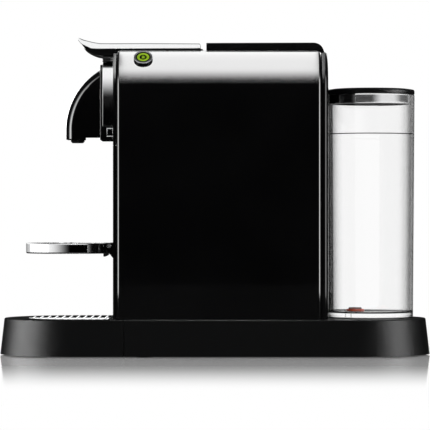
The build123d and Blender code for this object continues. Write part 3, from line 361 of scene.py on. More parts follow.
# ------------------------------------------------------------------ mesh helpers
def piece(name, mesh_builder, slot, body, replaced=(), smooth_angle=35, weighted=True):
    """Turns a mesh built in millimetres into a piece of the object."""
    bmesh.ops.remove_doubles(mesh_builder, verts=mesh_builder.verts, dist=1e-5)
    bmesh.ops.recalc_face_normals(mesh_builder, faces=mesh_builder.faces)
    mesh_builder.transform(Matrix.Scale(MM, 4))
    for edge in mesh_builder.edges:
        if len(edge.link_faces) == 2:
            edge.smooth = edge.calc_face_angle() < math.radians(smooth_angle)
    for face in mesh_builder.faces:
        face.smooth = True
    mesh = bpy.data.meshes.new(name)
    mesh_builder.to_mesh(mesh)
    mesh_builder.free()
    mesh.materials.append(look[slot])
    obj = bpy.data.objects.new(name, mesh)
    bpy.context.scene.collection.objects.link(obj)
    if weighted:
        modifier = obj.modifiers.new("weighted", "WEIGHTED_NORMAL")
        modifier.keep_sharp = True
        modifier.weight = 100
    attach(obj, body)
    if replaced:
        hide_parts(*replaced)
    return obj


def arc_points(center, radius, start, end, steps):
    """Points along an arc in a plane; angles in degrees."""
    points = []
    for index in range(steps + 1):
        angle = math.radians(start + (end - start) * index / steps)
        points.append((center[0] + radius * math.cos(angle), center[1] + radius * math.sin(angle)))
    return points


def round_rectangle(low_u, high_u, low_v, high_v, radii, steps=8):
    """Rounded rectangle; radii are for the corners from low-low, anticlockwise."""
    corners = [((low_u, low_v), 1, 1, 180), ((high_u, low_v), -1, 1, 270),
               ((high_u, high_v), -1, -1, 0), ((low_u, high_v), 1, -1, 90)]
    points = []
    for ((u, v), du, dv, start), radius in zip(corners, radii):
        if radius <= 0:
            points.append((u, v))
        else:
            points += arc_points((u + du * radius, v + dv * radius), radius, start, start + 90, steps)
    return points


AXES = {
    "x": lambda u, v, depth: (depth, u, v),
    "y": lambda u, v, depth: (u, depth, v),
    "z": lambda u, v, depth: (u, v, depth),
}


def prism(builder, outline, low, high, axis, bevel=0.0, segments=3, sharp_angle=30):
    """Extrudes an outline along an axis and rounds its sharp edges."""
    place = AXES[axis]
    bottom = [builder.verts.new(place(u, v, low)) for u, v in outline]
    top = [builder.verts.new(place(u, v, high)) for u, v in outline]
    faces = [builder.faces.new(bottom), builder.faces.new(list(reversed(top)))]
    count = len(outline)
    for index in range(count):
        after = (index + 1) % count
        faces.append(builder.faces.new((bottom[index], top[index], top[after], bottom[after])))
    bmesh.ops.recalc_face_normals(builder, faces=faces)
    if bevel > 0:
        edges = {edge for face in faces for edge in face.edges}
        sharp = [edge for edge in edges
                 if len(edge.link_faces) == 2 and edge.calc_face_angle() > math.radians(sharp_angle)]
        bmesh.ops.bevel(builder, geom=sharp, offset=bevel, segments=segments, profile=0.5,
                        affect="EDGES", clamp_overlap=True)
    return builder


def lathe(builder, profile, center, steps=96, closed=True):
    """Turns a profile of (radius, height) points round a vertical axis."""
    rings = []
    for radius, height in profile:
        if radius < 1e-6:
            rings.append([builder.verts.new((center[0], center[1], height))])
            continue
        ring = []
        for index in range(steps):
            angle = 2 * math.pi * index / steps
            ring.append(builder.verts.new((center[0] + radius * math.cos(angle),
                                           center[1] + radius * math.sin(angle), height)))
        rings.append(ring)
    pairs = list(zip(rings, rings[1:] + rings[:1])) if closed else list(zip(rings, rings[1:]))
    for first, second in pairs:
        if len(first) == 1 and len(second) == 1:
            continue
        for index in range(steps):
            after = (index + 1) % steps
            if len(first) == 1:
                builder.faces.new((first[0], second[after], second[index]))
            elif len(second) == 1:
                builder.faces.new((first[index], first[after], second[0]))
            else:
                builder.faces.new((first[index], first[after], second[after], second[index]))
    return builder


def round_profile(corners, steps=6):
    """Rounds the corners of a closed profile given as (radius, height, corner round)."""
    points = []
    count = len(corners)
    for index, (r, z, rounding) in enumerate(corners):
        if rounding <= 0:
            points.append((r, z))
            continue
        before = Vector(corners[index - 1][:2])
        after = Vector(corners[(index + 1) % count][:2])
        here = Vector((r, z))
        start = (before - here).normalized()
        end = (after - here).normalized()
        half = start.angle(end) / 2
        reach = min(rounding / math.tan(half), (before - here).length / 2, (after - here).length / 2)
        radius = reach * math.tan(half)
        middle = here + (start + end).normalized() * (radius / math.sin(half))
        first = here + start * reach - middle
        last = here + end * reach - middle
        turn = first.angle_signed(last)
        for step in range(steps + 1):
            angle = -turn * step / steps
            point = middle + Matrix.Rotation(angle, 2) @ first
            points.append((point.x, point.y))
    return points


def curve_through(points, steps=8):
    """Smooth curve through points by Catmull-Rom spans."""
    padded = [points[0], *points, points[-1]]
    result = []
    for p0, p1, p2, p3 in zip(padded, padded[1:], padded[2:], padded[3:]):
        for step in range(steps):
            t = step / steps
            result.append(tuple(
                0.5 * (2 * b + (c - a) * t + (2 * a - 5 * b + 4 * c - d) * t * t
                       + (3 * b - a - 3 * c + d) * t ** 3)
                for a, b, c, d in zip(p0, p1, p2, p3)))
    result.append(tuple(points[-1]))
    return result


def value_at(curve, u):
    """Second coordinate of a curve at a first coordinate that rises along it."""
    for (u0, v0), (u1, v1) in zip(curve, curve[1:]):
        if u <= u1:
            share = (u - u0) / (u1 - u0) if u1 > u0 else 0
            return v0 + (v1 - v0) * max(0.0, min(1.0, share))
    return curve[-1][1]


def join_rings(builder, rings):
    """Quads between each closed ring of vertices and the next."""
    count = len(rings[0])
    for first, second in zip(rings, rings[1:]):
        for index in range(count):
            after = (index + 1) % count
            builder.faces.new((first[index], first[after], second[after], second[index]))


def skin(builder, sections):
    """Joins closed sections of equal point counts into one skin with closed ends."""
    rings = [[builder.verts.new(point) for point in section] for section in sections]
    join_rings(builder, rings)
    builder.faces.new(list(reversed(rings[0])))
    builder.faces.new(rings[-1])
    return builder


# ------------------------------------------------------------------ lever
def make_lever():
    low, high = box_mm("lever_shell")
    half = high.x
    overshoot = 0.05   # the curve rises this little above its highest point
    tip_y, rear_y, tip_z = low.y, high.y, high.z - overshoot
    bottom = low.z + 0.4
    top = bottom + 4.7
    upper = curve_through([(tip_y + 0.2, tip_z - 0.5), (tip_y + 0.9, tip_z), (tip_y + 4.6, tip_z - 1.7),
                           (tip_y + 9.2, top + 2.1), (tip_y + 16, top + 0.6), (tip_y + 23.4, top + 0.05),
                           (tip_y + 60, top + 0.1), (rear_y, top - 0.15)])
    lower = curve_through([(tip_y + 0.05, tip_z - 1.5), (tip_y + 1.2, tip_z - 3.4),
                           (tip_y + 3.4, tip_z - 5.8), (tip_y + 6.4, bottom + 2.3),
                           (tip_y + 10.2, bottom + 0.6), (tip_y + 14.8, bottom - 0.4),
                           (tip_y + 40, bottom - 0.3), (rear_y, bottom)])
    corner, edge, low_edge = 10.0, 1.3, 0.6
    # Distances behind the tip, close together where the outline bends.
    stations = [0.0, 0.12, 0.35, 0.7, 1.2, 1.8, 2.6, 3.6, 4.8, 6.2, 7.8, 9.6, 11.5, 13.6, 16, 19, 23, 30,
                45, 60, 75, 90, rear_y - tip_y - 3, rear_y - tip_y - 1.2, rear_y - tip_y - 0.5,
                rear_y - tip_y - 0.15, rear_y - tip_y]
    sections = []
    for station in stations:
        y = tip_y + station
        z_top, z_bottom = value_at(upper, y), value_at(lower, y)
        width = half
        if station < corner:
            width = half - corner + math.sqrt(corner ** 2 - (corner - station) ** 2)
        pinch = 0.0
        from_rear = rear_y - y
        if from_rear < edge:
            pinch = edge - math.sqrt(max(0.0, edge ** 2 - (edge - from_rear) ** 2))
        z_top, z_bottom, width = z_top - pinch, z_bottom + pinch * 0.6, width - pinch
        r = min(edge, (z_top - z_bottom) / 2 * 0.98)
        outline = round_rectangle(-width, width, z_bottom, z_top, (min(low_edge, r), min(low_edge, r), r, r),
                                  steps=5)
        sections.append([(u, y, v) for u, v in outline])
    builder = skin(bmesh.new(), sections)
    piece("lever_tongue", builder, "chrome", "lever", ["lever_shell"], smooth_angle=50)


# ------------------------------------------------------------------ head
HEAD_SETBACK = 2.2   # the cap and hoop stand this far behind the core's front
CLIP_SETBACK = 1.2   # the clips stand this far behind their solids
HOOP_RISE = 2.0      # the hoop closes up to the cap
HOOP_WALL = 1.3
HOOP_CORNER = 8.0


def make_head():
    low, high = box_mm("head_housing")
    half = high.x
    front, rear, bottom, top = low.y, high.y, low.z, high.z
    arch_high = box_mm("head_arch")[1]
    cap_bottom = arch_high.z + HOOP_RISE + 0.3
    builder = bmesh.new()
    core_half = arch_high.x - HOOP_WALL - 0.15
    core_top = arch_high.z + HOOP_RISE - HOOP_WALL - 0.3
    prism(builder, round_rectangle(-core_half, core_half, bottom, core_top, (0.6, 0.6, 6.7, 6.7)),
          front, rear, "y", 0.5)
    prism(builder, round_rectangle(-half + 1, half - 1, bottom + 0.2, top - 1.5, (0.4, 0.4, 0.4, 0.4), 2),
          rear - 1.2, rear, "y", 0.2)
    levels = [(cap_bottom, top - 3.1), (top - 2.5, top - 1.5), (top - 0.9, top)]
    for z0, z1 in levels:
        crown = min(2.2 if z1 == top else 0.5, z1 - z0 - 0.1)
        prism(builder, round_rectangle(-half, half, z0, z1, (0.3, 0.3, crown, crown), 5),
              front + HEAD_SETBACK, rear, "y", 0.28)
    prism(builder, round_rectangle(-half + 0.8, half - 0.8, cap_bottom + 0.3, top - 0.9,
                                   (0.2, 0.2, 0.2, 0.2), 2), front + HEAD_SETBACK + 0.8, rear - 0.2, "y")
    piece("head_block", builder, "gloss_black", "machine", ["head_housing"])


def make_arch():
    low, high = box_mm("head_arch")
    half, wall, corner, top = high.x, HOOP_WALL, HOOP_CORNER, high.z + HOOP_RISE
    outer = [(-half, low.z), (-half, top - corner)]
    outer += arc_points((-half + corner, top - corner), corner, 180, 90, 12)[1:]
    outer += arc_points((half - corner, top - corner), corner, 90, 0, 12)
    outer += [(half, low.z)]
    inner = [(half - wall, low.z), (half - wall, top - corner)]
    inner += arc_points((half - corner, top - corner), corner - wall, 0, 90, 12)[1:]
    inner += arc_points((-half + corner, top - corner), corner - wall, 90, 180, 12)
    inner += [(-half + wall, low.z)]
    builder = prism(bmesh.new(), outer + inner, low.y + HEAD_SETBACK, high.y + 1.4, "y", 0.5, 4)
    piece("head_hoop", builder, "chrome", "machine", ["head_arch"])


def make_clips():
    low, high = box_mm("head_clips")
    builder = bmesh.new()
    for side in (-1, 1):
        inner, outer = sorted((side * (high.x - 1.05), side * high.x))
        bar = 0.9
        for y0, y1, z0, z1 in ((low.y, high.y, high.z - bar, high.z), (low.y, high.y, low.z, low.z + bar),
                               (low.y, low.y + bar, low.z + bar, high.z - bar),
                               (high.y - bar, high.y, low.z + bar, high.z - bar)):
            near, far = y0 + CLIP_SETBACK, y1 + CLIP_SETBACK
            prism(builder, [(near, z0), (far, z0), (far, z1), (near, z1)],
                  inner, outer, "x", 0.2, 2)
    piece("head_clip_frames", builder, "chrome", "machine", ["head_clips"])


def make_nozzle():
    low, high = box_mm("spout_nozzle")
    center = ((low.x + high.x) / 2, (low.y + high.y) / 2)
    outer, bore = 6.0, 4.0
    profile = round_profile([
        (bore, low.z + 0.3, 0.4), (outer - 1.4, low.z, 0.7), (outer, low.z + 1.5, 0.6),
        (outer, low.z + 2.4, 0.2), (outer - 0.5, low.z + 2.7, 0.1), (outer - 0.5, low.z + 3.1, 0.1),
        (outer, low.z + 3.4, 0.2), (outer, high.z - 2.7, 0.1), (high.x, high.z - 2.7, 0.2),
        (high.x, high.z, 0.2), (bore, high.z, 0.2)])
    piece("nozzle_lip", lathe(bmesh.new(), profile, center), "inner_black", "machine", ["spout_nozzle"])


# ------------------------------------------------------------------ buttons
def button_frame(side):
    """Place and turn of a button: its local z points out of the shoulder."""
    low, high = box_mm("espresso_lens" if side > 0 else "lungo_lens")
    middle = (low + high) / 2
    tilt = Matrix.Rotation(math.radians(45 * side), 4, "Y")
    return Matrix.Translation(middle) @ tilt


LENS_DEPTH = 1.2
LENS_INNER = 3.1
LENS_OUTER = 5.15
CAP_RADIUS = 6.2


def cup_icon(builder, size, level, thick):
    """Small generic cup with handle, saucer and two wisps of steam."""
    def bar(x0, y0, x1, y1, width):
        along = Vector((x1 - x0, y1 - y0)).normalized()
        across = Vector((-along.y, along.x)) * width / 2
        start, end = Vector((x0, y0)), Vector((x1, y1))
        outline = [start - across, end - across, end + across, start + across]
        prism(builder, [(size * p.x, size * p.y) for p in outline], level, level + thick, "z")

    cup = [(-0.5, 0.28), (-0.42, -0.2), (-0.24, -0.4), (0.14, -0.4), (0.32, -0.2), (0.4, 0.28)]
    prism(builder, [(size * x, size * y) for x, y in cup], level, level + thick, "z", 0.05, 2)
    bar(0.36, 0.14, 0.64, 0.14, 0.14)
    bar(0.6, 0.2, 0.6, -0.14, 0.14)
    bar(0.66, -0.14, 0.3, -0.14, 0.14)
    bar(-0.62, -0.6, 0.52, -0.6, 0.16)
    bar(-0.22, 0.44, -0.22, 0.76, 0.15)
    bar(0.12, 0.44, 0.12, 0.76, 0.15)


def make_buttons():
    bezels = bmesh.new()
    for side, name in ((1, "espresso"), (-1, "lungo")):
        place = button_frame(side)
        top = LENS_DEPTH / 2
        lens = bmesh.new()
        lathe(lens, round_profile([(LENS_INNER, top - LENS_DEPTH, 0), (LENS_OUTER, top - LENS_DEPTH, 0),
                                   (LENS_OUTER, top - 0.05, 0.3), (LENS_INNER, top - 0.2, 0.1)]), (0, 0))
        icon = bmesh.new()
        cup_icon(icon, 2.5 if side > 0 else 3.0, top - 0.3, 0.25)
        turn = Matrix.Rotation(math.radians(90 * side), 4, "Z")
        icon.transform(place @ turn)
        lens.transform(place)
        piece(f"{name}_glow", lens, "lit_green", f"{name}_key", [f"{name}_lens"])
        piece(f"{name}_icon", icon, "lit_green", f"{name}_key", weighted=False)
        cap = bmesh.new()
        cap_bottom = top - 6.7
        cap_face = top - 0.25
        groove_floor = top - LENS_DEPTH
        groove_outer, groove_inner = LENS_OUTER + 0.02, LENS_INNER - 0.05
        lathe(cap, round_profile([(0, cap_bottom - 5, 0), (3, cap_bottom - 5, 0.3), (3, cap_bottom, 0),
                                  (CAP_RADIUS, cap_bottom, 0.2), (CAP_RADIUS, top, 0.35),
                                  (groove_outer, top - 0.1, 0.1), (groove_outer, groove_floor, 0),
                                  (groove_inner, groove_floor, 0), (groove_inner, cap_face, 0.15),
                                  (0, cap_face, 0)]),
              (0, 0), closed=False)
        cap.transform(place)
        piece(f"{name}_cap", cap, "button_black", f"{name}_key", [f"{name}_button"])
        ring = bmesh.new()
        inner, outer = 6.4, 8.0
        lathe(ring, round_profile([(inner, top - 0.8, 0.1), (outer, top - 0.8, 0.1),
                                   (outer, top + 0.05, 0.55), (inner, top + 0.3, 0.3)]), (0, 0))
        ring.transform(place)
        spare = bpy.data.meshes.new("ring")
        ring.to_mesh(spare)
        ring.free()
        bezels.from_mesh(spare)
        bpy.data.meshes.remove(spare)
    piece("button_rings", bezels, "chrome", "machine", ["button_bezels"])


# ------------------------------------------------------------------ drip unit
def make_drip_grid():
    low, high = box_mm("drip_grid")
    half, front, rear, top, bottom = high.x, low.y, high.y, high.z, low.z
    border, wall_top = 3.4, top - 0.5
    builder = bmesh.new()
    # The outer rim follows the round front end and closes straight across the back.
    centre_y = front + half
    outer = [(half, rear), (half, centre_y)]
    outer += arc_points((0, centre_y), half, 0, -180, 40)[1:]
    outer += [(-half, rear)]
    inner_half = half - border
    inner = [(-inner_half, rear - border), (-inner_half, centre_y)]
    inner += arc_points((0, centre_y), inner_half, -180, 0, 40)[1:]
    inner += [(inner_half, rear - border)]
    crest = [(u * 0.992, (v - centre_y) * 0.994 + centre_y) for u, v in outer]
    inward = inner[::-1]
    levels = [(outer, bottom), (outer, wall_top - 0.4), (crest, wall_top),
              (inward, wall_top), (inward, wall_top - 0.5), (inward, bottom)]
    rings = [[builder.verts.new((u, v, z)) for u, v in outline] for outline, z in levels]
    join_rings(builder, rings + rings[:1])
    piece("drip_grille_rim", builder, "satin_black", "grid", ["drip_grid"], smooth_angle=40)
    builder = bmesh.new()
    pitch = 6.25
    y = rear - border - pitch / 2
    while y > front + border:
        inside = inner_half ** 2 - min(0.0, y - centre_y) ** 2
        if inside > 60:
            reach = math.sqrt(inside) + 1.0
            slat = [(y - 0.9, bottom + 0.1), (y + 0.9, bottom + 0.1), (y + 0.85, top - 0.4),
                    (y + 0.5, top - 0.05), (y - 0.5, top - 0.05), (y - 0.85, top - 0.4)]
            prism(builder, slat, -reach, reach, "x", 0.12, 2)
        y -= pitch
    prism(builder, [(-1.2, bottom + 0.1), (1.2, bottom + 0.1), (0.9, top - 0.6), (-0.9, top - 0.6)],
          front + border - 0.5, rear - border + 0.5, "y", 0.15, 2)
    piece("drip_grille", builder, "steel", "grid", smooth_angle=40)


def make_cup_support():
    low, high = box_mm("cup_support_grid")
    ring_low, ring_high = box_mm("cup_support_ring")
    radius = high.x
    centre_y = ring_low.y + (ring_high.x - ring_low.x) / 2
    rear = high.y
    top, bottom = high.z, low.z
    builder = bmesh.new()
    start = math.degrees(math.asin(min(1.0, (rear - centre_y) / radius)))
    outer = arc_points((0, centre_y), radius, start, -180 - start, 60)
    inner_radius = radius - 4.2
    inner_rear = rear - 4.0
    inner_start = math.degrees(math.asin(min(1.0, (inner_rear - centre_y) / inner_radius)))
    inner = arc_points((0, centre_y), inner_radius, inner_start, -180 - inner_start, 60)
    levels = [(outer, bottom), (outer, top - 0.3), (outer, top),
              (inner, top), (inner, top - 0.3), (inner, bottom)]
    rings = [[builder.verts.new((u, v, z)) for u, v in outline] for outline, z in levels]
    join_rings(builder, rings + rings[:1])
    pitch = 6.0
    for step in range(-5, 6):
        y = centre_y + step * pitch
        inside = inner_radius ** 2 - (y - centre_y) ** 2
        if inside > 40 and y < inner_rear:
            reach = math.sqrt(inside) + 0.8
            prism(builder, [(y - 1.5, bottom + 0.1), (y + 1.5, bottom + 0.1), (y + 1.5, top - 0.7),
                            (y + 0.9, top - 0.1), (y - 0.9, top - 0.1), (y - 1.5, top - 0.7)],
                  -reach, reach, "x", 0.15, 2)
    prism(builder, [(-1.25, bottom + 0.1), (1.25, bottom + 0.1), (1.25, top - 0.15), (-1.25, top - 0.15)],
          centre_y - inner_radius - 0.5, inner_rear + 0.5, "y", 0.15, 2)
    piece("cup_support_grille", builder, "chrome", "cup_support", ["cup_support_grid"], smooth_angle=40)


# ------------------------------------------------------------------ water tank
def make_tank():
    low, high = box_mm("water_tank")
    radius = high.x
    center = (0.0, (low.y + high.y) / 2)
    top = high.z
    bottom = box_mm("base_housing")[1].z + 0.3
    foot = radius - 1.4
    wall, floor = 2.2, 4.2
    fill = top - 34.0
    def at(z, inset=0.0):
        return foot + (radius - foot) * (z - bottom) / (top - bottom) - inset
    profile = [(0, bottom + 0.9, 0), (foot - 6, bottom + 0.9, 1.0), (foot - 4.2, bottom, 0.4),
               (foot, bottom, 1.5), (at(fill - 0.4), fill - 0.4, 0), (at(fill), fill, 0),
               (radius, top, 0.8), (radius - wall, top, 0.6), (at(fill, wall), fill, 0),
               (at(bottom + floor + 3, wall), bottom + floor, 2.6), (0, bottom + floor, 0)]
    builder = lathe(bmesh.new(), round_profile(profile), center, closed=False)
    piece("tank_wall", builder, "clear", "tank", ["water_tank"], smooth_angle=60)
    valve_low, valve_high = box_mm("valve_seal")
    valve = ((valve_low.x + valve_high.x) / 2, (valve_low.y + valve_high.y) / 2)
    spigot = lathe(bmesh.new(), round_profile([(5.5, low.z, 0.4), (8, low.z, 0.6), (8, bottom - 0.1, 0),
                                               (5.5, bottom - 0.1, 0)]), valve)
    piece("tank_spigot", spigot, "clear", "tank", weighted=False)
    mark = bmesh.new()
    outside = at(fill)
    outer = arc_points(center, outside + 0.12, -76, 76, 60)
    inner = arc_points(center, outside - 0.12, 76, -76, 60)
    prism(mark, outer + inner, fill - 0.4, fill + 0.4, "z", 0.05, 1)
    piece("tank_fill_mark", mark, "inner_black", "tank")


def make_lid():
    low, high = box_mm("tank_lid")
    radius = high.x
    center = (0.0, (low.y + high.y) / 2)
    profile = round_profile([(0, low.z, 0), (radius, low.z, 0.5), (radius, high.z - 1.1, 1.6),
                             (radius - 6, high.z - 0.25, 3), (0, high.z, 0)])
    piece("lid_cap", lathe(bmesh.new(), profile, center, closed=False), "satin_black", "lid", ["tank_lid"],
          smooth_angle=60, weighted=False)
    low, high = box_mm("lid_collar")
    radius = high.x
    profile = round_profile([(radius - 1.2, low.z, 0.3), (radius, low.z, 0.5), (radius, high.z, 0),
                             (radius - 1.2, high.z, 0)])
    piece("lid_band", lathe(bmesh.new(), profile, center), "chrome", "lid", ["lid_collar"], smooth_angle=60)


def make_valve():
    low, high = box_mm("valve_seal")
    center = ((low.x + high.x) / 2, (low.y + high.y) / 2)
    minor = (high.z - low.z) / 2
    major = (high.x - low.x) / 2 - minor
    middle = (low.z + high.z) / 2
    ring = [(major + minor * math.cos(2 * math.pi * k / 20), middle + minor * math.sin(2 * math.pi * k / 20))
            for k in range(20)]
    piece("valve_ring", lathe(bmesh.new(), ring, center), "red_rubber", "tank_valve", ["valve_seal"],
          smooth_angle=60, weighted=False)
    low, high = box_mm("valve_plunger")
    head = high.x
    neck = major - minor - 0.05
    profile = round_profile([(0, low.z, 0), (4.2, low.z, 0.2), (4.2, low.z + 1, 0.2), (2, low.z + 1, 0.2),
                             (2, middle - minor, 0.2), (neck, middle - minor, 0.2), (neck, high.z - 1.8, 0.2),
                             (head, high.z - 1.6, 0.3), (head - 0.5, high.z - 0.3, 0.6), (0, high.z, 0)])
    piece("valve_core", lathe(bmesh.new(), profile, center, closed=False), "clear", "tank_valve",
          ["valve_plunger"], smooth_angle=50, weighted=False)


# ------------------------------------------------------------------ stage
# Every glowing card has a radius of its own, because see-through cards in one place cancel each other.
FLOOR_DOME_RADIUS = 1.2
COVER_STRIPS_RADIUS = 1.9
STRIPS_RADIUS = 2.0
ENDS_RADIUS = 2.1
ARC_RADIUS = 2.2
RING_RADIUS = 2.3
COLLAR_RADIUS = 2.45
FLAG_DISTANCE = 2.6
CHROME_DOME_RADIUS = 7.0
TENT_RADIUS = 8.0
ARC_HEIGHT = 0.235   # the arc's axis
ARC_HALF = 0.55      # the arc reaches this far to the front and the rear
FLAG_FADE = (0.328, 0.374)   # heights between which the dark flags fade out


def glossy_only(obj):
    obj.visible_camera = False
    obj.visible_diffuse = False
    obj.visible_transmission = False
    obj.visible_volume_scatter = False
    obj.visible_shadow = False


def stage_mesh(name, verts, faces):
    mesh = bpy.data.meshes.new(name)
    mesh.from_pydata(verts, [], faces)
    obj = bpy.data.objects.new(name, mesh)
    bpy.context.scene.collection.objects.link(obj)
    material = bpy.data.materials.new(name)
    material.use_nodes = True
    material.node_tree.nodes.clear()
    mesh.materials.append(material)
    return obj, material


def dark_card(name, verts, faces, fade=None, level=0.0):
    """A card that reflections see as dark; given two heights, it fades out between them."""
    obj, material = stage_mesh(name, verts, faces)
    surface = emission(material, level)
    if fade:
        height = (object_coordinates(material), "Z")
        through = add_node(material, "ShaderNodeBsdfTransparent")
        surface = mix_shaders(material, spread(material, height, *fade, smooth=True), surface, through)
    finish_material(material, surface)
    glossy_only(obj)


def glow_card(name, verts, faces, strength, receivers, level_of):
    """A see-through card that adds light to the reflections of some pieces only."""
    obj, material = stage_mesh(name, verts, faces)
    glow = emission(material, math_node(material, "MULTIPLY", level_of(material), strength))
    through = add_node(material, "ShaderNodeBsdfTransparent")
    finish_material(material, add_shaders(material, glow, through))
    glossy_only(obj)
    obj.light_linking.receiver_collection = receivers


def receivers_of(name, wanted):
    """Collection of the pieces whose name or material slot is wanted."""
    collection = bpy.data.collections.new(name)
    for obj in bpy.data.objects:
        if obj.type != "MESH":
            continue
        dressed = any(entry.material == look.get(slot) for entry in obj.material_slots for slot in wanted
                      if entry.material)
        if obj.name in wanted or dressed:
            collection.objects.link(obj)
    return collection


def without(collection, names):
    for obj in list(collection.objects):
        if obj.name in names:
            collection.objects.unlink(obj)
    return collection


def ribbon(pairs):
    """Strip of quads along pairs of points."""
    verts = [point for pair in pairs for point in pair]
    faces = [(base, base + 1, base + 3, base + 2) for base in range(0, len(verts) - 2, 2)]
    return verts, faces


def wall(radius, low, high, start, end, steps):
    """Upright wall bent round the object; angles in degrees from the near side."""
    pairs = []
    for index in range(steps + 1):
        angle = math.radians(start + (end - start) * index / steps)
        pairs.append([(radius * math.cos(angle), radius * math.sin(angle), z) for z in (low, high)])
    return ribbon(pairs)


def dome(radius, steps=32):
    """Whole sphere as plain quads and end fans."""
    builder = bmesh.new()
    bmesh.ops.create_uvsphere(builder, u_segments=2 * steps, v_segments=steps, radius=radius)
    verts = [tuple(vert.co) for vert in builder.verts]
    faces = [tuple(vert.index for vert in face.verts) for face in builder.faces]
    builder.free()
    return verts, faces


def bearing(material):
    """Direction round the object as a share of a turn: 0.5 is the near side, 0.75 the tank's end."""
    split = object_coordinates(material)
    angle = math_node(material, "ARCTAN2", (split, "Y"), (split, "X"))
    return math_node(material, "ADD", math_node(material, "DIVIDE", angle, 2 * math.pi), 0.5)


def around(material, stops):
    """Level by direction, eased between (degrees, level) stops."""
    shares = [((degrees + 180) / 360, level) for degrees, level in stops]
    return shaped(material, bearing(material), shares, eased=True)


def overhead_arc(receivers, strength):
    """Softbox bent over the object; its glow rises from the horizon to the zenith."""
    pairs = []
    steps = 48
    for index in range(steps + 1):
        angle = math.pi * index / steps
        x, z = ARC_RADIUS * math.cos(angle), ARC_HEIGHT + ARC_RADIUS * math.sin(angle)
        pairs.append([(x, y, z) for y in (-ARC_HALF, ARC_HALF)])
    verts, faces = ribbon(pairs)

    def by_elevation(material):
        split = object_coordinates(material)
        rise = math_node(material, "SUBTRACT", (split, "Z"), ARC_HEIGHT)
        share = math_node(material, "DIVIDE", math_node(material, "ARCTAN2", rise, (split, "X")), math.pi)
        rise_level = shaped(material, share, [(0.02, 0.0), (0.3, 0.97), (1.0, 0.0)], eased=True)
        front_end = spread(material, (split, "Y"), -0.163, -0.152, smooth=True)
        rear_end = spread(material, (split, "Y"), 0.16, 0.175, 1.0, 0.0, smooth=True)
        between_ends = math_node(material, "MULTIPLY", front_end, rear_end)
        along_level = spread(material, between_ends, 0.0, 1.0, 0.1, 1.0)
        return math_node(material, "MULTIPLY", rise_level, along_level)

    glow_card("stage_arc", verts, faces, strength, receivers, by_elevation)


def chrome_dome(receivers):
    """White surround for bright metal, with a dark band overhead that draws its top edges."""
    def level(material):
        split = object_coordinates(material)
        sideways = math_node(material, "DIVIDE", (split, "X"), CHROME_DOME_RADIUS)
        lean = math_node(material, "ABSOLUTE", sideways)
        up = spread(material, (split, "Z"), 0.3 * CHROME_DOME_RADIUS, 0.7 * CHROME_DOME_RADIUS)
        shade = shaped(material, lean, [(0.0, 1.0), (0.45, 0.95), (0.7, 0.0), (1.0, 0.0)])
        dip = math_node(material, "MULTIPLY", shade, up)
        return math_node(material, "SUBTRACT", 1.0, math_node(material, "MULTIPLY", dip, 0.97))

    verts, faces = dome(CHROME_DOME_RADIUS)
    glow_card("stage_dome", verts, faces, 0.95, receivers, level)


def side_strips(name, receivers, radius, strength):
    """Upright strip lights that draw the vertical edges of the gloss black shells."""
    def level(material):
        half = [(9, 0.0), (25, 1.0), (60, 0.0)]
        near = [(-angle, value) for angle, value in reversed(half)] + half
        far = [(180 - angle, value) for angle, value in reversed(half)]
        across = around(material, [(-angle, value) for angle, value in reversed(far)] + near + far)
        height = spread(material, (object_coordinates(material), "Z"), 0.35, 1.3, 1.0, 0.0)
        return math_node(material, "MULTIPLY", across, height)

    verts, faces = wall(radius, -0.6, 1.3, 0, 360, 144)
    glow_card(name, verts, faces, strength, receivers, level)


def end_softboxes(receivers, front, rear):
    """Soft light off both ends of the satin base."""
    peak = max(front, rear)

    def level(material):
        return around(material, [(-127, 0.0), (-82, front / peak), (-37, 0.0),
                                 (35, 0.0), (69, rear / peak), (103, 0.0)])

    verts, faces = wall(ENDS_RADIUS, -0.3, 1.2, 0, 360, 144)
    glow_card("stage_ends", verts, faces, peak, receivers, level)


def ring_light(receivers):
    """Low light round the front half that whitens the front of the cup support."""
    def level(material):
        return around(material, [(-180, 0.2), (-90, 1.0), (-60, 1.0), (-2, 0.0)])

    verts, faces = wall(RING_RADIUS, -0.6, 0.22, 0, 360, 288)
    glow_card("stage_low_front", verts, faces, 1.0, receivers, level)


def collar_surround():
    """What the collar shows through the tank's wall: dark towards the body, one bright side, dark again."""
    obj, material = stage_mesh("stage_collar", *wall(COLLAR_RADIUS, 0.298, 0.35, -100, 120, 110))
    level = around(material, [(0, 0.02), (35, 0.82), (62, 0.82), (95, 0.1)])
    finish_material(material, emission(material, level))
    glossy_only(obj)
    obj.visible_glossy = False
    obj.visible_transmission = True


def make_world():
    """White to the camera, to reflections and through glass, and dimmer as a light."""
    world = bpy.data.worlds.new("world")
    bpy.context.scene.world = world
    world.use_nodes = True
    world.node_tree.nodes.clear()
    shades = []
    for strength in (0.55, 1.0):
        shade = add_node(world, "ShaderNodeBackground")
        shade.inputs["Color"].default_value = (1, 1, 1, 1)
        shade.inputs["Strength"].default_value = strength
        shades.append(shade)
    path = add_node(world, "ShaderNodeLightPath")
    seen = math_node(world, "MAXIMUM", (path, "Is Camera Ray"), (path, "Is Glossy Ray"))
    seen = math_node(world, "MAXIMUM", seen, (path, "Is Transmission Ray"))
    out = add_node(world, "ShaderNodeOutputWorld")
    link(world, mix_shaders(world, seen, *shades), 0, out, "Surface")


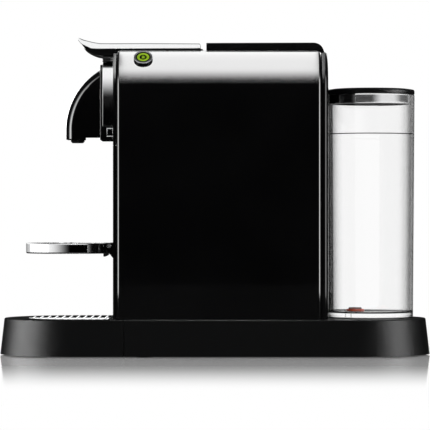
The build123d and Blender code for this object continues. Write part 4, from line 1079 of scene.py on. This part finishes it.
def make_floor():
    """Pale floor: lit and shadowed near the object, plain white farther out, with a short reflection."""
    size = 30.0
    corners = [(-size, -size, 0), (size, -size, 0), (size, size, 0), (-size, size, 0)]
    material = stage_mesh("floor", corners, [(0, 1, 2, 3)])[1]
    split = object_coordinates(material)
    along = math_node(material, "SUBTRACT", math_node(material, "ABSOLUTE", (split, "Y")), 0.121)
    along = math_node(material, "MAXIMUM", along, 0.0)
    across = math_node(material, "ABSOLUTE", (split, "X"))
    squares = math_node(material, "ADD", math_node(material, "MULTIPLY", along, along),
                        math_node(material, "MULTIPLY", across, across))
    away = math_node(material, "SUBTRACT", math_node(material, "SQRT", squares), 0.065)
    path = add_node(material, "ShaderNodeLightPath")
    seen = math_node(material, "MAXIMUM", (path, "Is Camera Ray"), (path, "Is Transmission Ray"))
    matte = add_node(material, "ShaderNodeBsdfDiffuse")
    matte.inputs["Color"].default_value = (0.8, 0.8, 0.8, 1)
    near = add_shaders(material, matte, emission(material, 0.3))
    far = emission(material, 1.0)
    pale = mix_shaders(material, spread(material, away, 0.12, 0.6, smooth=True), near, far)
    mirror = add_node(material, "ShaderNodeBsdfGlossy")
    mirror.inputs["Roughness"].default_value = 0.05
    mirror.inputs["Color"].default_value = (1, 1, 1, 1)
    shine = spread(material, away, 0.09, 0.445, 0.74, 0.0, smooth=True)
    facing = add_node(material, "ShaderNodeLayerWeight")
    facing.inputs["Blend"].default_value = 0.5
    grazing = shaped(material, (facing, "Facing"),
                     [(0.0, 0.06), (0.5, 0.15), (0.75, 0.5), (0.9, 0.95), (0.94, 1.0)])
    shine = math_node(material, "MULTIPLY", shine, grazing)
    polished = mix_shaders(material, shine, pale, mirror)
    hidden = mix_shaders(material, (path, "Is Glossy Ray"), matte, emission(material, 0.04))
    finish_material(material, mix_shaders(material, seen, hidden, polished))


def make_key_light():
    """Square lamp above the front of the near side, aimed at the middle of the object."""
    data = bpy.data.lights.new("key", "AREA")
    data.shape = "RECTANGLE"
    data.size = data.size_y = 1.4
    data.energy = 11
    location, target = Vector((0.3, -0.2, 1.6)), Vector((0, 0, 0.1))
    obj = bpy.data.objects.new("key", data)
    obj.location = location
    obj.rotation_euler = (target - location).to_track_quat("-Z", "Y").to_euler()
    obj.visible_glossy = False
    bpy.context.scene.collection.objects.link(obj)


def make_flags():
    """Dark flags on both sides, which the lower part of the shells reflects."""
    for side, name in ((1, "near"), (-1, "far")):
        x = FLAG_DISTANCE * side
        corners = [(x, -4, -0.6), (x, 30, -0.6), (x, 30, 0.6), (x, -4, 0.6)]
        dark_card(f"stage_flag_{name}", corners, [(0, 1, 2, 3)], FLAG_FADE)


make_camera()
dress_cad_nodes()
make_lever()
make_head()
make_arch()
make_clips()
make_nozzle()
make_buttons()
make_drip_grid()
make_cup_support()
make_tank()
make_lid()
make_valve()

make_world()
make_floor()
make_key_light()
dark_card("stage_tent", *dome(TENT_RADIUS), level=0.05)
make_flags()
gloss = receivers_of("gloss_receivers", {"gloss_black"})
overhead_arc(receivers_of("arc_receivers", {"gloss_black"}), 19.9)
side_strips("stage_strips", without(gloss, {"rear_cover"}), STRIPS_RADIUS, 16.0)
side_strips("stage_cover_strips", receivers_of("cover_receivers", {"rear_cover"}), COVER_STRIPS_RADIUS, 5.0)
end_softboxes(receivers_of("satin_receivers", {"satin_black"}), 7.4, 5.4)
chrome_dome(without(receivers_of("bright_receivers", {"chrome", "steel", "aluminium"}), {"lid_band"}))
ring_light(receivers_of("ring_receivers", {"cup_support_ring", "cup_support_grille"}))
collar_surround()
glow_card("stage_floor_dome", *dome(FLOOR_DOME_RADIUS), 1.0,
          receivers_of("floor_receivers", {"floor", "drip_grille"}),
          lambda material: around(material, [(-180, 1.0), (180, 1.0)]))

bpy.context.scene.view_settings.view_transform = "Standard"
